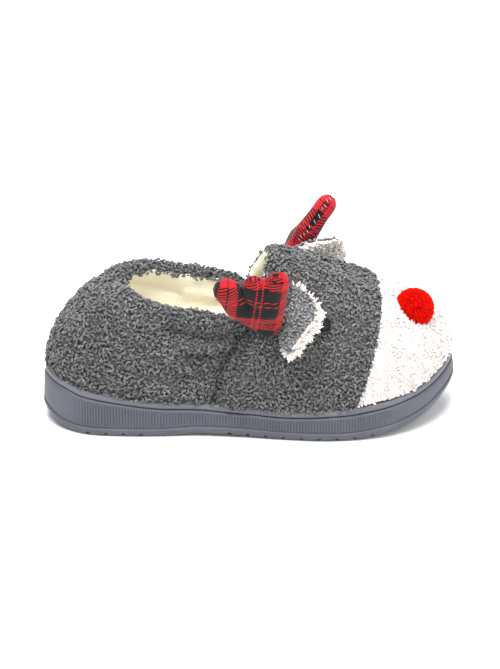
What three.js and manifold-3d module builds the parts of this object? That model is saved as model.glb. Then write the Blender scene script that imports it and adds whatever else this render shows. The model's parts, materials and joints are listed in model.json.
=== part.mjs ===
// A closed-back house slipper for a right foot, standing empty on its sole.
// A moulded sole with ribbed sides carries a fleece upper with a white toe panel.
// Ears, stuffed antlers, eyes and a yarn pompom are sewn to the upper.
// Millimetres. +X points to the toe, +Y to the inner side of the foot, +Z up.
// The origin is the middle of the heel's flat tread, on the floor.
import * as THREE from "three";
import { mergeVertices } from "three/addons/utils/BufferGeometryUtils.js";
import Module from "manifold-3d";

const wasm = await Module();
wasm.setup();

// Driving dimensions of the last and the sole
const LENGTH = 270; // sole, from the back of the heel to the tip of the toe
const BALL_WIDTH = 102; // sole, at the widest place
const HEEL_BACK = 46; // from the back of the heel to the origin
const HEEL_HEIGHT = 25.5; // sole's side at the heel, without the rand
const TOE_SPRING = 19; // rise of the tread at the tip of the toe
const INSTEP_HEIGHT = 116; // top of the throat above the sole's floor plane

// Sole's side and tread
const TREAD_BEVEL = 4; // tread's edge inside the outline
const BEVEL_RISE = 1.1;
const BASE_BAND = 5.4; // plain band under the groove
const GROOVE_DEPTH = 1.1;
const GROOVE_WIDTH = 1.6;
const RIB_PITCH = 1.9;
const RIB_DEPTH = 0.5;
const RIB_START = 0.05; // share of the length where the ribs begin
const RIB_END = 0.87;
const WALL_LEAN = 1.6; // the side leans in by this at its top
const TREAD_CUT = 2.2; // width of a cut across the tread
const TREAD_CUT_DEPTH = 2.4;
const TREAD_PITCH = 11.4;
const FOREFOOT_CUTS = 10;
const HEEL_CUTS = 4;

// Rand, wall and insole
const GAP = 0.3; // between pieces that touch
const RAND_HEIGHT = 4.4;
const RAND_THICK = 2.4;
const RAND_INSET = 1.9; // rand's outer face inside the outline
const TUCK_WALL = 3; // upper's wall where the rand holds it
const WALL = 6; // fleece, backing and lining together
const RIM_THICK = 8.5; // the wall at the collar and the throat
const RIM_ROLL = 0.35; // height of the rim's rounding as a share of its thickness
const PILE_INSET = 2; // fleece above the rand, inside the outline
const PILE_LIFT = 0.7; // fleece starts this far above the rand
const INSOLE_THICK = 7;
const INSOLE_EDGE = 2.5; // rounding of the insole's edge
const QUARTER_STEP = 1.1; // the vamp stands proud of the heel part
const CAP_THICK = 2.2; // white toe panel

// Trims
const EAR_LENGTH = 47;
const EAR_WIDTH = 25;
const EAR_LAYER = 3.5;
const EAR_FRINGE = 2; // the white front is larger than the grey back by this all round
const EAR_CUP = 8; // depth of the ear's hollow
const EAR_BEND = 10; // droop of the ear's tip
const ANTLER_THICK = 17;
const ANTLER_LENGTH = 60;
const POMPOM_RADIUS = 11.5;
const POMPOM_LOCK = 2.2;
const EYE_RADIUS = 5;

// The sole's outline: half widths as shares of the ball width
const OUTLINE = [
  { along: 0.03, outer: 0.205, inner: 0.205 },
  { along: 0.105, outer: 0.33, inner: 0.33 },
  { along: 0.21, outer: 0.372, inner: 0.366 },
  { along: 0.38, outer: 0.388, inner: 0.338 },
  { along: 0.53, outer: 0.445, inner: 0.405 },
  { along: 0.68, outer: 0.497, inner: 0.503 },
  { along: 0.82, outer: 0.456, inner: 0.51 },
  { along: 0.92, outer: 0.305, inner: 0.44 },
  { along: 0.98, outer: 0.085, inner: 0.3 },
];
const TOE_TIP_SIDE = 0.11; // the tip lies this share of the ball width to the inner side

// The sole's side view: tread height as a share of the toe spring, side as a share of the heel's
const SIDE_VIEW = [
  { along: 0, lift: 0.42, side: 0.99 },
  { along: 0.045, lift: 0.12, side: 1.09 },
  { along: 0.095, lift: 0, side: 1.02 },
  { along: 0.27, lift: 0, side: 0.76 },
  { along: 0.38, lift: 0.08, side: 0.66 },
  { along: 0.48, lift: 0.07, side: 0.6 },
  { along: 0.57, lift: 0, side: 0.6 },
  { along: 0.7, lift: 0, side: 0.67 },
  { along: 0.8, lift: 0.12, side: 0.7 },
  { along: 0.9, lift: 0.42, side: 0.66 },
  { along: 0.955, lift: 0.74, side: 0.6 },
  { along: 1, lift: 1, side: 0.57 },
];

// Ribs of the last run from the sole's edge at `along` over the side to the ridge.
// The ridge: `at` is a share of the length, `up` of the instep height.
const RIDGE = [
  { along: 0, at: 0.266, up: 0.805 },
  { along: 0.06, at: 0.29, up: 0.838 },
  { along: 0.15, at: 0.364, up: 0.884 },
  { along: 0.28, at: 0.458, up: 0.957 },
  { along: 0.4, at: 0.499, up: 0.968 },
  { along: 0.475, at: 0.563, up: 0.946 },
  { along: 0.535, at: 0.552, up: 0.99 },
  { along: 0.63, at: 0.605, up: 0.965 },
  { along: 0.75, at: 0.67, up: 0.895 },
  { along: 0.85, at: 0.725, up: 0.825 },
  { along: 0.93, at: 0.77, up: 0.77 },
  { along: 1, at: 0.8, up: 0.73 },
];

// The flank: `lean` and `spread` are shares of the way from ridge to edge, lengthwise and across.
// `crown` is a share of the instep height, `belly` of the ball width, `rise` of the rib's height.
const FLANK = [
  { along: 0, lean: 0.64, spread: 1.5, crown: 0.08, belly: 0.012, rise: 0.43 },
  { along: 0.06, lean: 0.7, spread: 1.65, crown: 0.085, belly: 0.03, rise: 0.43 },
  { along: 0.15, lean: 0.85, spread: 1.39, crown: 0.06, belly: 0.045, rise: 0.41 },
  { along: 0.28, lean: 1, spread: 1.34, crown: 0.03, belly: 0.05, rise: 0.38 },
  { along: 0.4, lean: 0.95, spread: 1.43, crown: 0.015, belly: 0.05, rise: 0.38 },
  { along: 0.475, lean: 0.8, spread: 1.2, crown: 0.01, belly: 0.055, rise: 0.4 },
  { along: 0.535, lean: 0.5, spread: 0.6, crown: 0, belly: 0.05, rise: 0.48 },
  { along: 0.63, lean: 0.45, spread: 0.62, crown: 0, belly: 0.045, rise: 0.5 },
  { along: 0.75, lean: 0.45, spread: 0.64, crown: 0, belly: 0.04, rise: 0.5 },
  { along: 0.85, lean: 0.48, spread: 0.68, crown: 0, belly: 0.04, rise: 0.5 },
  { along: 0.93, lean: 0.55, spread: 0.8, crown: -0.02, belly: 0.035, rise: 0.48 },
  { along: 1, lean: 0.62, spread: 0.9, crown: -0.055, belly: 0.022, rise: 0.46 },
];

// The collar: the share of its rib that the upper keeps. Ribs in front of it are whole.
const COLLAR = [
  { along: 0, kept: 0.8 },
  { along: 0.06, kept: 0.8 },
  { along: 0.15, kept: 0.71 },
  { along: 0.28, kept: 0.6 },
  { along: 0.4, kept: 0.55 },
  { along: 0.475, kept: 0.5 },
  { along: 0.535, kept: 1 },
];
const CORNER_ALONG = 0.475; // where the collar meets the throat
const THROAT_ALONG = 0.535; // where the throat reaches the ridge
const OUTER_DROP = 0.07; // share of its rib by which the collar is lower on the outer side

// How finely the forms are cut into facets
const OUTLINE_STEPS = 40; // fine steps between two rows of the outline
const HEEL_STATIONS = 13;
const THROAT_STATIONS = 6;
const VAMP_STATIONS = 13;
const RIB_LEVELS = 7;
const LOW_LEVELS = 3; // levels below the lowest collar
const LOW_SHARE = 0.42; // the share of the rib they take
const CUTTER_REACH = 160; // half size of the cutting blocks, past every form
const BED_REACH = 2; // how far the skins that cut a step stand out of the upper

// Mesh helpers

// Collects triangles, merges their corners and gives a solid that faces outwards.
class Skin {
  constructor() {
    this.corners = [];
  }
  triangle(a, b, c) {
    this.corners.push(...a, ...b, ...c);
  }
  quad(a, b, c, d) {
    this.triangle(a, b, c);
    this.triangle(a, c, d);
  }
  // Joins two closed loops of the same length, point by point.
  band(low, high) {
    low.forEach((point, i) => {
      const next = (i + 1) % low.length;
      this.quad(point, low[next], high[next], high[i]);
    });
  }
  // Joins two closed loops of different lengths by each point's key, which grows along the loop.
  zip(low, lowKeys, high, highKeys) {
    let i = 0;
    let j = 0;
    while (i < low.length || j < high.length) {
      const lowKey = i < low.length ? (lowKeys[i + 1] ?? Infinity) : Infinity;
      const highKey = j < high.length ? (highKeys[j + 1] ?? Infinity) : Infinity;
      const stepLow = j >= high.length || (i < low.length && lowKey <= highKey);
      const a = low[i % low.length];
      const b = high[j % high.length];
      if (stepLow) this.triangle(a, low[(i + 1) % low.length], b);
      else this.triangle(a, high[(j + 1) % high.length], b);
      if (stepLow) i += 1;
      else j += 1;
    }
  }
  // Closes a loop of paired stations with strips from side to side.
  cap(loop, facingUp) {
    const half = loop.length / 2;
    for (let i = 0; i < half; i++) {
      const a = loop[i];
      const b = loop[i + 1];
      const c = loop[(loop.length - i - 1) % loop.length];
      const d = loop[(loop.length - i) % loop.length];
      if (facingUp) this.quad(a, b, c, d);
      else this.quad(d, c, b, a);
    }
  }
  solid() {
    const raw = new THREE.BufferGeometry();
    raw.setAttribute("position", new THREE.Float32BufferAttribute(this.corners, 3));
    return solidFrom(raw);
  }
}

function solidFrom(geometry) {
  const bare = new THREE.BufferGeometry();
  const flat = geometry.index ? geometry.toNonIndexed() : geometry;
  bare.setAttribute("position", flat.getAttribute("position").clone());
  const merged = mergeVertices(bare, 1e-3);
  const kept = [];
  const index = merged.index.array;
  for (let i = 0; i < index.length; i += 3) {
    const [a, b, c] = [index[i], index[i + 1], index[i + 2]];
    if (a !== b && b !== c && c !== a) kept.push(a, b, c);
  }
  const vertProperties = merged.attributes.position.array;
  const make = (corners) =>
    new wasm.Manifold(
      new wasm.Mesh({ numProp: 3, vertProperties, triVerts: new Uint32Array(corners) }),
    );
  const made = make(kept);
  if (made.volume() > 0) return made;
  const turned = [];
  for (let i = 0; i < kept.length; i += 3) turned.push(kept[i], kept[i + 2], kept[i + 1]);
  return make(turned);
}

function geometryFrom(solid) {
  const mesh = solid.getMesh();
  const positions = new Float32Array(mesh.numVert * 3);
  for (let i = 0; i < mesh.numVert; i++) {
    positions.set(mesh.vertProperties.subarray(i * mesh.numProp, i * mesh.numProp + 3), i * 3);
  }
  const geometry = new THREE.BufferGeometry();
  geometry.setAttribute("position", new THREE.BufferAttribute(positions, 3));
  geometry.setIndex(new THREE.BufferAttribute(new Uint32Array(mesh.triVerts), 1));
  geometry.computeVertexNormals();
  return geometry;
}

const lerp = (a, b, t) => a + (b - a) * t;
const mix = (a, b, t) => a.map((value, i) => lerp(value, b[i], t));

// A smooth curve through one column of a table, flat between rows that are equal.
function column(rows, name) {
  const x = rows.map((row) => row.along);
  const y = rows.map((row) => row[name]);
  const slope = x.slice(1).map((value, i) => (y[i + 1] - y[i]) / (value - x[i]));
  const tangent = x.map((_, i) => {
    const before = slope[i - 1] ?? slope[0];
    const after = slope[i] ?? slope[slope.length - 1];
    return before * after > 0 ? (2 * before * after) / (before + after) : 0;
  });
  return (along) => {
    const at = Math.min(Math.max(along, x[0]), x[x.length - 1]);
    const i = Math.max(0, x.findIndex((value) => value >= at) - 1);
    const step = x[i + 1] - x[i];
    const t = (at - x[i]) / step;
    return (
      y[i] * (1 + 2 * t) * (1 - t) ** 2 +
      y[i + 1] * t * t * (3 - 2 * t) +
      tangent[i] * step * t * (1 - t) ** 2 -
      tangent[i + 1] * step * t * t * (1 - t)
    );
  };
}

// Outline of the sole

const OUTER = -1; // outer side of a right foot, towards -Y
const INNER = 1;

// Fine points of one side of the outline, heel to toe, each with its outward direction.
function outlineSide(side) {
  const row = ({ along, outer, inner }, sign) => {
    const half = (sign === OUTER ? outer : inner) * BALL_WIDTH;
    return new THREE.Vector3(along * LENGTH - HEEL_BACK, sign * half, 0);
  };
  const heel = new THREE.Vector3(-HEEL_BACK, 0, 0);
  const toe = new THREE.Vector3(LENGTH - HEEL_BACK, TOE_TIP_SIDE * BALL_WIDTH, 0);
  const near = OUTLINE.map((r) => row(r, side));
  const far = OUTLINE.map((r) => row(r, -side)).reverse();
  const curve = new THREE.CatmullRomCurve3([heel, ...near, toe, ...far], true, "centripetal");
  const spans = OUTLINE.length + 1;
  const whole = 2 * spans;
  const points = [];
  for (let i = 0; i <= spans * OUTLINE_STEPS; i++) {
    const t = i / (whole * OUTLINE_STEPS);
    const point = curve.getPoint(t);
    const along = curve.getTangent(t);
    points.push({ x: point.x, y: point.y, nx: -side * along.y, ny: side * along.x });
  }
  return points;
}
const SIDES = { [OUTER]: outlineSide(OUTER), [INNER]: outlineSide(INNER) };

// The outline's point at a share of the length, moved inwards by inset.
function edge(side, along, inset) {
  const points = SIDES[side];
  const x = along * LENGTH - HEEL_BACK;
  const after = points.findIndex((point) => point.x >= x - 1e-6);
  const i = after < 0 ? points.length - 1 : Math.max(1, after);
  const a = points[i - 1];
  const b = points[i];
  const t = Math.min(1, Math.max(0, (x - a.x) / (b.x - a.x || 1)));
  const n = new THREE.Vector2(lerp(a.nx, b.nx, t), lerp(a.ny, b.ny, t)).normalize();
  const x0 = lerp(a.x, b.x, t);
  const y0 = lerp(a.y, b.y, t);
  return { x: x0 - n.x * inset, y: y0 - n.y * inset, nx: n.x, ny: n.y };
}

const liftShare = column(SIDE_VIEW, "lift");
const sideShare = column(SIDE_VIEW, "side");
const treadHeight = (along) => liftShare(along) * TOE_SPRING;
const sideHeight = (along) => sideShare(along) * HEEL_HEIGHT;
const soleTop = (along) => treadHeight(along) + sideHeight(along);

// Stations close up towards the heel's back and the toe's tip.
function stations() {
  const list = [];
  for (let i = 0; i < HEEL_STATIONS; i++) {
    list.push(CORNER_ALONG * (1 - Math.cos((i / HEEL_STATIONS) * (Math.PI / 2))));
  }
  for (let i = 0; i < THROAT_STATIONS; i++) {
    list.push(lerp(CORNER_ALONG, THROAT_ALONG, i / THROAT_STATIONS));
  }
  for (let i = 0; i <= VAMP_STATIONS; i++) {
    list.push(lerp(THROAT_ALONG, 1, Math.sin((i / VAMP_STATIONS) * (Math.PI / 2))));
  }
  return list;
}
const STATIONS = stations();
const TIP = STATIONS.length - 1;
const THROAT_TOP = HEEL_STATIONS + THROAT_STATIONS; // index of the station at the throat's top

// A closed loop round the shoe: outer side from heel to toe, then inner side back again.
const loop = (point) => [
  ...STATIONS.map((along) => point(OUTER, along)),
  ...STATIONS.slice(1, TIP).reverse().map((along) => point(INNER, along)),
];
const edgeLoop = (inset, height) =>
  loop((side, along) => {
    const at = edge(side, along, inset);
    return [at.x, at.y, height(along)];
  });

// Sole

// Points of the ribbed band: the plain stations, and between them the ribs' crests and roots.
function ribbedLoop(inset, height) {
  const keys = [];
  const points = [];
  const add = (side, along, key, cut) => {
    const at = edge(side, along, inset + cut);
    keys.push(key);
    points.push([at.x, at.y, height(along)]);
  };
  const lastKey = 2 * TIP;
  const half = RIB_PITCH / 2 / LENGTH;
  const count = 2 * Math.round((RIB_END - RIB_START) / (2 * half));
  const ribs = Array.from({ length: count + 1 }, (_, i) => lerp(RIB_START, RIB_END, i / count));
  const plain = STATIONS.filter((along) => along < RIB_START - half || along > RIB_END + half);
  const all = [
    ...plain.map((along) => ({ along, cut: 0 })),
    ...ribs.map((along, i) => ({ along, cut: (i % 2) * RIB_DEPTH })),
  ];
  all.sort((a, b) => a.along - b.along);
  const keyOf = (along) => {
    const i = Math.min(TIP - 1, Math.max(0, STATIONS.findIndex((value) => value > along) - 1));
    return along >= 1 ? TIP : i + (along - STATIONS[i]) / (STATIONS[i + 1] - STATIONS[i]);
  };
  all.forEach(({ along, cut }) => add(OUTER, along, keyOf(along), cut));
  all
    .slice(1, -1)
    .reverse()
    .forEach(({ along, cut }) => add(INNER, along, lastKey - keyOf(along), cut));
  return { keys, points };
}

function soleSolid() {
  const plainKeys = Array.from({ length: 2 * TIP }, (_, i) => i);
  const above = (height) => (along) => treadHeight(along) + height;
  const below = (height) => (along) => soleTop(along) - height;
  const tread = edgeLoop(TREAD_BEVEL, above(0));
  const foot = edgeLoop(TREAD_BEVEL / 4, above(BEVEL_RISE));
  const bandTop = edgeLoop(0, above(BASE_BAND));
  const grooveRoot = edgeLoop(GROOVE_DEPTH, above(BASE_BAND + GROOVE_WIDTH / 2));
  const ribFoot = ribbedLoop(RIB_DEPTH / 2, above(BASE_BAND + GROOVE_WIDTH));
  const ribHead = ribbedLoop(WALL_LEAN, below(GROOVE_WIDTH));
  const shoulder = edgeLoop(WALL_LEAN + RIB_DEPTH, below(0));
  const skin = new Skin();
  skin.cap(tread, false);
  skin.band(tread, foot);
  skin.band(foot, bandTop);
  skin.band(bandTop, grooveRoot);
  skin.zip(grooveRoot, plainKeys, ribFoot.points, ribFoot.keys);
  skin.zip(ribFoot.points, ribFoot.keys, ribHead.points, ribHead.keys);
  skin.zip(ribHead.points, ribHead.keys, shoulder, plainKeys);
  skin.cap(shoulder, true);
  return skin.solid().subtract(treadCuts());
}

// Cuts across the tread that open at both sides.
function treadCuts() {
  const block = (along) => {
    const x = along * LENGTH - HEEL_BACK;
    const box = new THREE.BoxGeometry(TREAD_CUT, 2 * CUTTER_REACH, 2 * TREAD_CUT_DEPTH);
    box.translate(x, 0, treadHeight(along));
    return solidFrom(box);
  };
  const pitch = TREAD_PITCH / LENGTH;
  const heelMiddle = HEEL_BACK / LENGTH;
  const ballMiddle = (SIDE_VIEW[6].along + SIDE_VIEW[7].along) / 2;
  const places = [];
  const row = (middle, count) => {
    for (let i = 0; i < count; i++) places.push(middle + (i - (count - 1) / 2) * pitch);
  };
  row(heelMiddle, HEEL_CUTS);
  row(ballMiddle, FOREFOOT_CUTS);
  return wasm.Manifold.union(places.map(block));
}

// Upper

const ridgeAt = column(RIDGE, "at");
const ridgeUp = column(RIDGE, "up");
const lean = column(FLANK, "lean");
const spread = column(FLANK, "spread");
const crown = column(FLANK, "crown");
const belly = column(FLANK, "belly");
const rise = column(FLANK, "rise");
const kept = column(COLLAR, "kept");
const pileFoot = (along) => soleTop(along) + GAP + RAND_HEIGHT + PILE_LIFT;

// A point of the last's skin: s runs from the pile's foot (0) over the side to the ridge (1).
function rib(side, along, s, inset) {
  const foot = edge(side, along, PILE_INSET + inset);
  const footZ = pileFoot(along);
  const ridgeX = ridgeAt(along) * LENGTH - HEEL_BACK;
  const ridgeZ = ridgeUp(along) * INSTEP_HEIGHT - inset;
  const out = belly(along) * BALL_WIDTH;
  const points = [
    [foot.x, foot.y, footZ],
    [foot.x + foot.nx * out, foot.y + foot.ny * out, lerp(footZ, ridgeZ, rise(along))],
    [
      lerp(ridgeX, foot.x, lean(along)),
      foot.y * spread(along),
      ridgeZ + crown(along) * INSTEP_HEIGHT,
    ],
    [ridgeX, 0, ridgeZ],
  ];
  const weights = [(1 - s) ** 3, 3 * s * (1 - s) ** 2, 3 * s * s * (1 - s), s ** 3];
  return [0, 1, 2].map((axis) => points.reduce((sum, p, i) => sum + weights[i] * p[axis], 0));
}

// The share of a rib that is kept: the collar is a little lower on the outer side.
function topline(side, along) {
  const lowered = side === OUTER && along < THROAT_ALONG;
  const drop = lowered ? OUTER_DROP * Math.sin((Math.PI * along) / THROAT_ALONG) : 0;
  return kept(along) * (1 - drop);
}

// The ribs share their lower levels; the levels above them close up to the topline.
function levelShare(side, along, level) {
  if (level <= LOW_LEVELS) return (LOW_SHARE * level) / LOW_LEVELS;
  return lerp(LOW_SHARE, topline(side, along), (level - LOW_LEVELS) / (RIB_LEVELS - LOW_LEVELS));
}
const levelLoop = (level, inset) =>
  loop((side, along) => rib(side, along, levelShare(side, along, level), inset));

// The points of a loop that lie on the collar and the throat, closed through the throat's top.
const openPart = (points) => [
  ...points.slice(0, THROAT_TOP + 1),
  ...points.slice(2 * TIP - THROAT_TOP + 1),
];

// Joins the outer and the inner skin over the rounded edge of the collar and the throat.
function rimBands(skin, outer, inner) {
  const a = openPart(outer);
  const b = openPart(inner);
  const count = a.length;
  const raised = (share) =>
    a.map((point, i) => {
      const before = new THREE.Vector3(...a[(i + count - 1) % count]);
      const after = new THREE.Vector3(...a[(i + 1) % count]);
      const across = new THREE.Vector3(...b[i]).sub(new THREE.Vector3(...point));
      const out = after.sub(before).cross(across).normalize();
      out.multiplyScalar(across.length() * RIM_ROLL);
      const base = mix(point, b[i], share);
      return [base[0] + out.x, base[1] + out.y, base[2] + out.z];
    });
  const rows = [a, raised(0.2), raised(0.8), b];
  for (let i = 0; i + 1 < rows.length; i++) skin.band(rows[i], rows[i + 1]);
}

// The space between two skins of the last, open at the collar and underneath.
function shellSolid(outerInset, innerInset, { tuck = false, drop = 0, rim = innerInset } = {}) {
  const outer = [];
  const inner = [];
  if (tuck) {
    const bottom = (along) => soleTop(along) + GAP;
    const held = RAND_INSET + RAND_THICK + GAP;
    outer.push(edgeLoop(held, bottom), edgeLoop(held, (along) => bottom(along) + RAND_HEIGHT));
    inner.push(edgeLoop(held + TUCK_WALL, bottom));
  }
  if (drop) {
    const low = (along) => pileFoot(along) - drop;
    outer.push(edgeLoop(PILE_INSET + outerInset, low));
    inner.push(edgeLoop(PILE_INSET + innerInset, low));
  }
  for (let level = 0; level <= RIB_LEVELS; level++) {
    outer.push(levelLoop(level, outerInset));
    inner.push(levelLoop(level, lerp(innerInset, rim, (level / RIB_LEVELS) ** 3)));
  }
  const skin = new Skin();
  for (let i = 0; i + 1 < outer.length; i++) skin.band(outer[i], outer[i + 1]);
  for (let i = 0; i + 1 < inner.length; i++) skin.band(inner[i + 1], inner[i]);
  skin.band(inner[0], outer[0]);
  rimBands(skin, outer[outer.length - 1], inner[inner.length - 1]);
  return skin.solid();
}

// Everything inside the last's skin, closed over the top, for trimming what is sewn to it.
function filledSolid(inset) {
  const skin = new Skin();
  const foot = edgeLoop(PILE_INSET + inset, () => -CUTTER_REACH);
  const levels = [foot];
  for (let level = 0; level <= RIB_LEVELS; level++) {
    levels.push(loop((side, along) => rib(side, along, level / RIB_LEVELS, inset)));
  }
  for (let i = 0; i + 1 < levels.length; i++) skin.band(levels[i], levels[i + 1]);
  skin.cap(foot, false);
  return skin.solid();
}

// A block in front of, or behind, a curved line seen from the side.
function sideBlock(line, front, shift = 0) {
  const at = (share) => share * LENGTH - HEEL_BACK + shift;
  const shape = new THREE.Shape();
  const far = front ? LENGTH + CUTTER_REACH : -CUTTER_REACH;
  const top = line.head_up * INSTEP_HEIGHT;
  shape.moveTo(at(line.foot), -CUTTER_REACH);
  shape.lineTo(at(line.foot), 0);
  shape.quadraticCurveTo(at(line.middle), line.middle_up * INSTEP_HEIGHT, at(line.head), top);
  shape.lineTo(far, top);
  shape.lineTo(far, -CUTTER_REACH);
  const block = new THREE.ExtrudeGeometry(shape, {
    depth: 2 * CUTTER_REACH,
    bevelEnabled: false,
    curveSegments: 10,
  });
  block.rotateX(Math.PI / 2);
  block.translate(0, CUTTER_REACH, 0);
  return solidFrom(block);
}
const TOE_SEAM = { foot: 0.7, middle: 0.815, middle_up: 0.45, head: 0.835, head_up: 1.3 };
const SIDE_SEAM = { foot: 0.405, middle: 0.45, middle_up: 0.45, head: 0.55, head_up: 1.3 };

function upperSolid() {
  const whole = shellSolid(0, WALL, { tuck: true, rim: RIM_THICK });
  const capSkin = shellSolid(-BED_REACH, CAP_THICK + GAP, { drop: 1 });
  const capBed = capSkin.intersect(sideBlock(TOE_SEAM, true, -GAP));
  const quarterSkin = shellSolid(-BED_REACH, QUARTER_STEP, { drop: 0.2 });
  const quarterBed = quarterSkin.intersect(sideBlock(SIDE_SEAM, false));
  return whole.subtract(capBed).subtract(quarterBed);
}

const toeCapSolid = () => shellSolid(0, CAP_THICK).intersect(sideBlock(TOE_SEAM, true));

// A strip that hugs the upper's tucked edge, standing on the sole.
function randSolid() {
  const low = (along) => soleTop(along) + GAP;
  const high = (along) => low(along) + RAND_HEIGHT - GAP;
  const skin = new Skin();
  const loops = [
    edgeLoop(RAND_INSET, low),
    edgeLoop(RAND_INSET, (along) => lerp(low(along), high(along), 0.7)),
    edgeLoop(RAND_INSET + RAND_THICK / 3, high),
    edgeLoop(RAND_INSET + RAND_THICK, high),
    edgeLoop(RAND_INSET + RAND_THICK, low),
  ];
  loops.forEach((points, i) => skin.band(points, loops[(i + 1) % loops.length]));
  return skin.solid();
}

function insoleSolid() {
  const outside = RAND_INSET + RAND_THICK + TUCK_WALL + 3 * GAP;
  const low = (along) => soleTop(along) + GAP;
  const skin = new Skin();
  const bottom = edgeLoop(outside, low);
  const side = edgeLoop(outside, (along) => low(along) + INSOLE_THICK - INSOLE_EDGE);
  const top = edgeLoop(outside + INSOLE_EDGE, (along) => low(along) + INSOLE_THICK);
  skin.cap(bottom, false);
  skin.band(bottom, side);
  skin.band(side, top);
  skin.cap(top, true);
  return skin.solid();
}

// Trims

// Places a trim: its X along `points`, its Z towards `faces`, its origin at `at`.
function place(solid, { at, points, faces }) {
  const x = new THREE.Vector3(...points).normalize();
  const y = new THREE.Vector3(...faces).cross(x).normalize();
  const z = new THREE.Vector3().crossVectors(x, y);
  const matrix = new THREE.Matrix4().makeBasis(x, y, z);
  matrix.setPosition(...at);
  return solidFrom(geometryFrom(solid).applyMatrix4(matrix));
}

// A leaf from its root at 0 to its tip along +X, hollowed towards +Z and drooping at the tip.
// A fringe adds a strip all round, so two layers of different size lie parallel.
function earSolid(bottom, top, fringe = 0) {
  const rows = 8;
  const columns = 4;
  const shares = Array.from({ length: rows + 1 }, (_, i) => i / rows);
  if (fringe) shares.push(1 + fringe / EAR_LENGTH);
  const wide = fringe ? columns + 2 : columns;
  const long = shares.length - 1;
  const point = (i, j, height) => {
    const u = Math.min(1, shares[i]);
    const half = (EAR_WIDTH / 2) * (0.42 * (1 - u) + Math.sin(Math.PI * (u * 0.93 + 0.03)) ** 0.8);
    const across = (2 * (fringe ? j - 1 : j)) / columns - 1;
    const beyond = Math.abs(across) > 1 ? Math.sign(across) * fringe : 0;
    const x = shares[i] * EAR_LENGTH;
    const y = Math.max(-1, Math.min(1, across)) * half + beyond;
    const arch = Math.sin((Math.PI * x) / (EAR_LENGTH + EAR_FRINGE));
    const cup = EAR_CUP * ((2 * y) / EAR_WIDTH) ** 2 * arch;
    const thin = Math.abs(height) > GAP ? 1 - 0.35 * (y / (half + EAR_FRINGE)) ** 4 : 1;
    return [x, y, cup - EAR_BEND * (x / EAR_LENGTH) ** 2 + height * thin];
  };
  const skin = new Skin();
  const up = (i, j) => point(i, j, top);
  const down = (i, j) => point(i, j, bottom);
  for (let i = 0; i < long; i++) {
    for (let j = 0; j < wide; j++) {
      skin.quad(up(i, j), up(i + 1, j), up(i + 1, j + 1), up(i, j + 1));
      skin.quad(down(i, j), down(i, j + 1), down(i + 1, j + 1), down(i + 1, j));
    }
    skin.quad(down(i + 1, 0), up(i + 1, 0), up(i, 0), down(i, 0));
    skin.quad(down(i, wide), up(i, wide), up(i + 1, wide), down(i + 1, wide));
  }
  for (let j = 0; j < wide; j++) {
    skin.quad(up(0, j), up(0, j + 1), down(0, j + 1), down(0, j));
    skin.quad(up(long, j), down(long, j), down(long, j + 1), up(long, j + 1));
  }
  return skin.solid();
}

// The antler's lobes in its own plane, as shares of its length: X from the root to the tips.
const LOBES = [
  { name: "root", x: 0.06, y: 0, radius: 0.135 },
  { name: "thumb", x: 0.43, y: 0.275, radius: 0.155 },
  { name: "hand", x: 0.41, y: -0.01, radius: 0.195 },
  { name: "first", x: 0.75, y: 0.38, radius: 0.145 },
  { name: "second", x: 0.8, y: 0.095, radius: 0.118 },
  { name: "third", x: 0.825, y: -0.165, radius: 0.122 },
];
const LIMBS = [
  ["root", "thumb", "hand"],
  ["thumb", "first"],
  ["hand", "second"],
  ["hand", "third"],
];

// A stuffed antler: flattened balls joined by the hulls of each limb.
function antlerSolid(grow = 0) {
  const flat = ANTLER_THICK / 2 / (0.23 * ANTLER_LENGTH);
  const ball = ({ x, y, radius }) => {
    const sphere = new THREE.SphereGeometry(radius * ANTLER_LENGTH + grow, 12, 6);
    sphere.rotateX(Math.PI / 2);
    sphere.scale(1, 1, lerp(flat, 1, 0.35));
    sphere.translate(x * ANTLER_LENGTH, y * ANTLER_LENGTH, 0);
    return solidFrom(sphere);
  };
  const named = (name) => ball(LOBES.find((lobe) => lobe.name === name));
  return wasm.Manifold.union(LIMBS.map((limb) => wasm.Manifold.hull(limb.map(named))));
}

// A ball of yarn with its cut ends standing out as short locks.
function pompomSolid() {
  const ball = new THREE.IcosahedronGeometry(POMPOM_RADIUS, 2);
  const ends = new THREE.IcosahedronGeometry(POMPOM_RADIUS, 1);
  const bare = new THREE.BufferGeometry();
  bare.setAttribute("position", ends.getAttribute("position"));
  const position = mergeVertices(bare).getAttribute("position");
  const locks = Array.from({ length: position.count }, (_, i) => {
    const out = new THREE.Vector3().fromBufferAttribute(position, i).normalize();
    const lock = new THREE.ConeGeometry(POMPOM_LOCK * 1.2, POMPOM_LOCK * 2, 4);
    lock.applyQuaternion(new THREE.Quaternion().setFromUnitVectors(new THREE.Vector3(0, 1, 0), out));
    lock.translate(...out.multiplyScalar(POMPOM_RADIUS).toArray());
    return solidFrom(lock);
  });
  return wasm.Manifold.union([solidFrom(ball), ...locks]);
}

const eyeSolid = () => solidFrom(new THREE.SphereGeometry(EYE_RADIUS, 12, 7));

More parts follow.
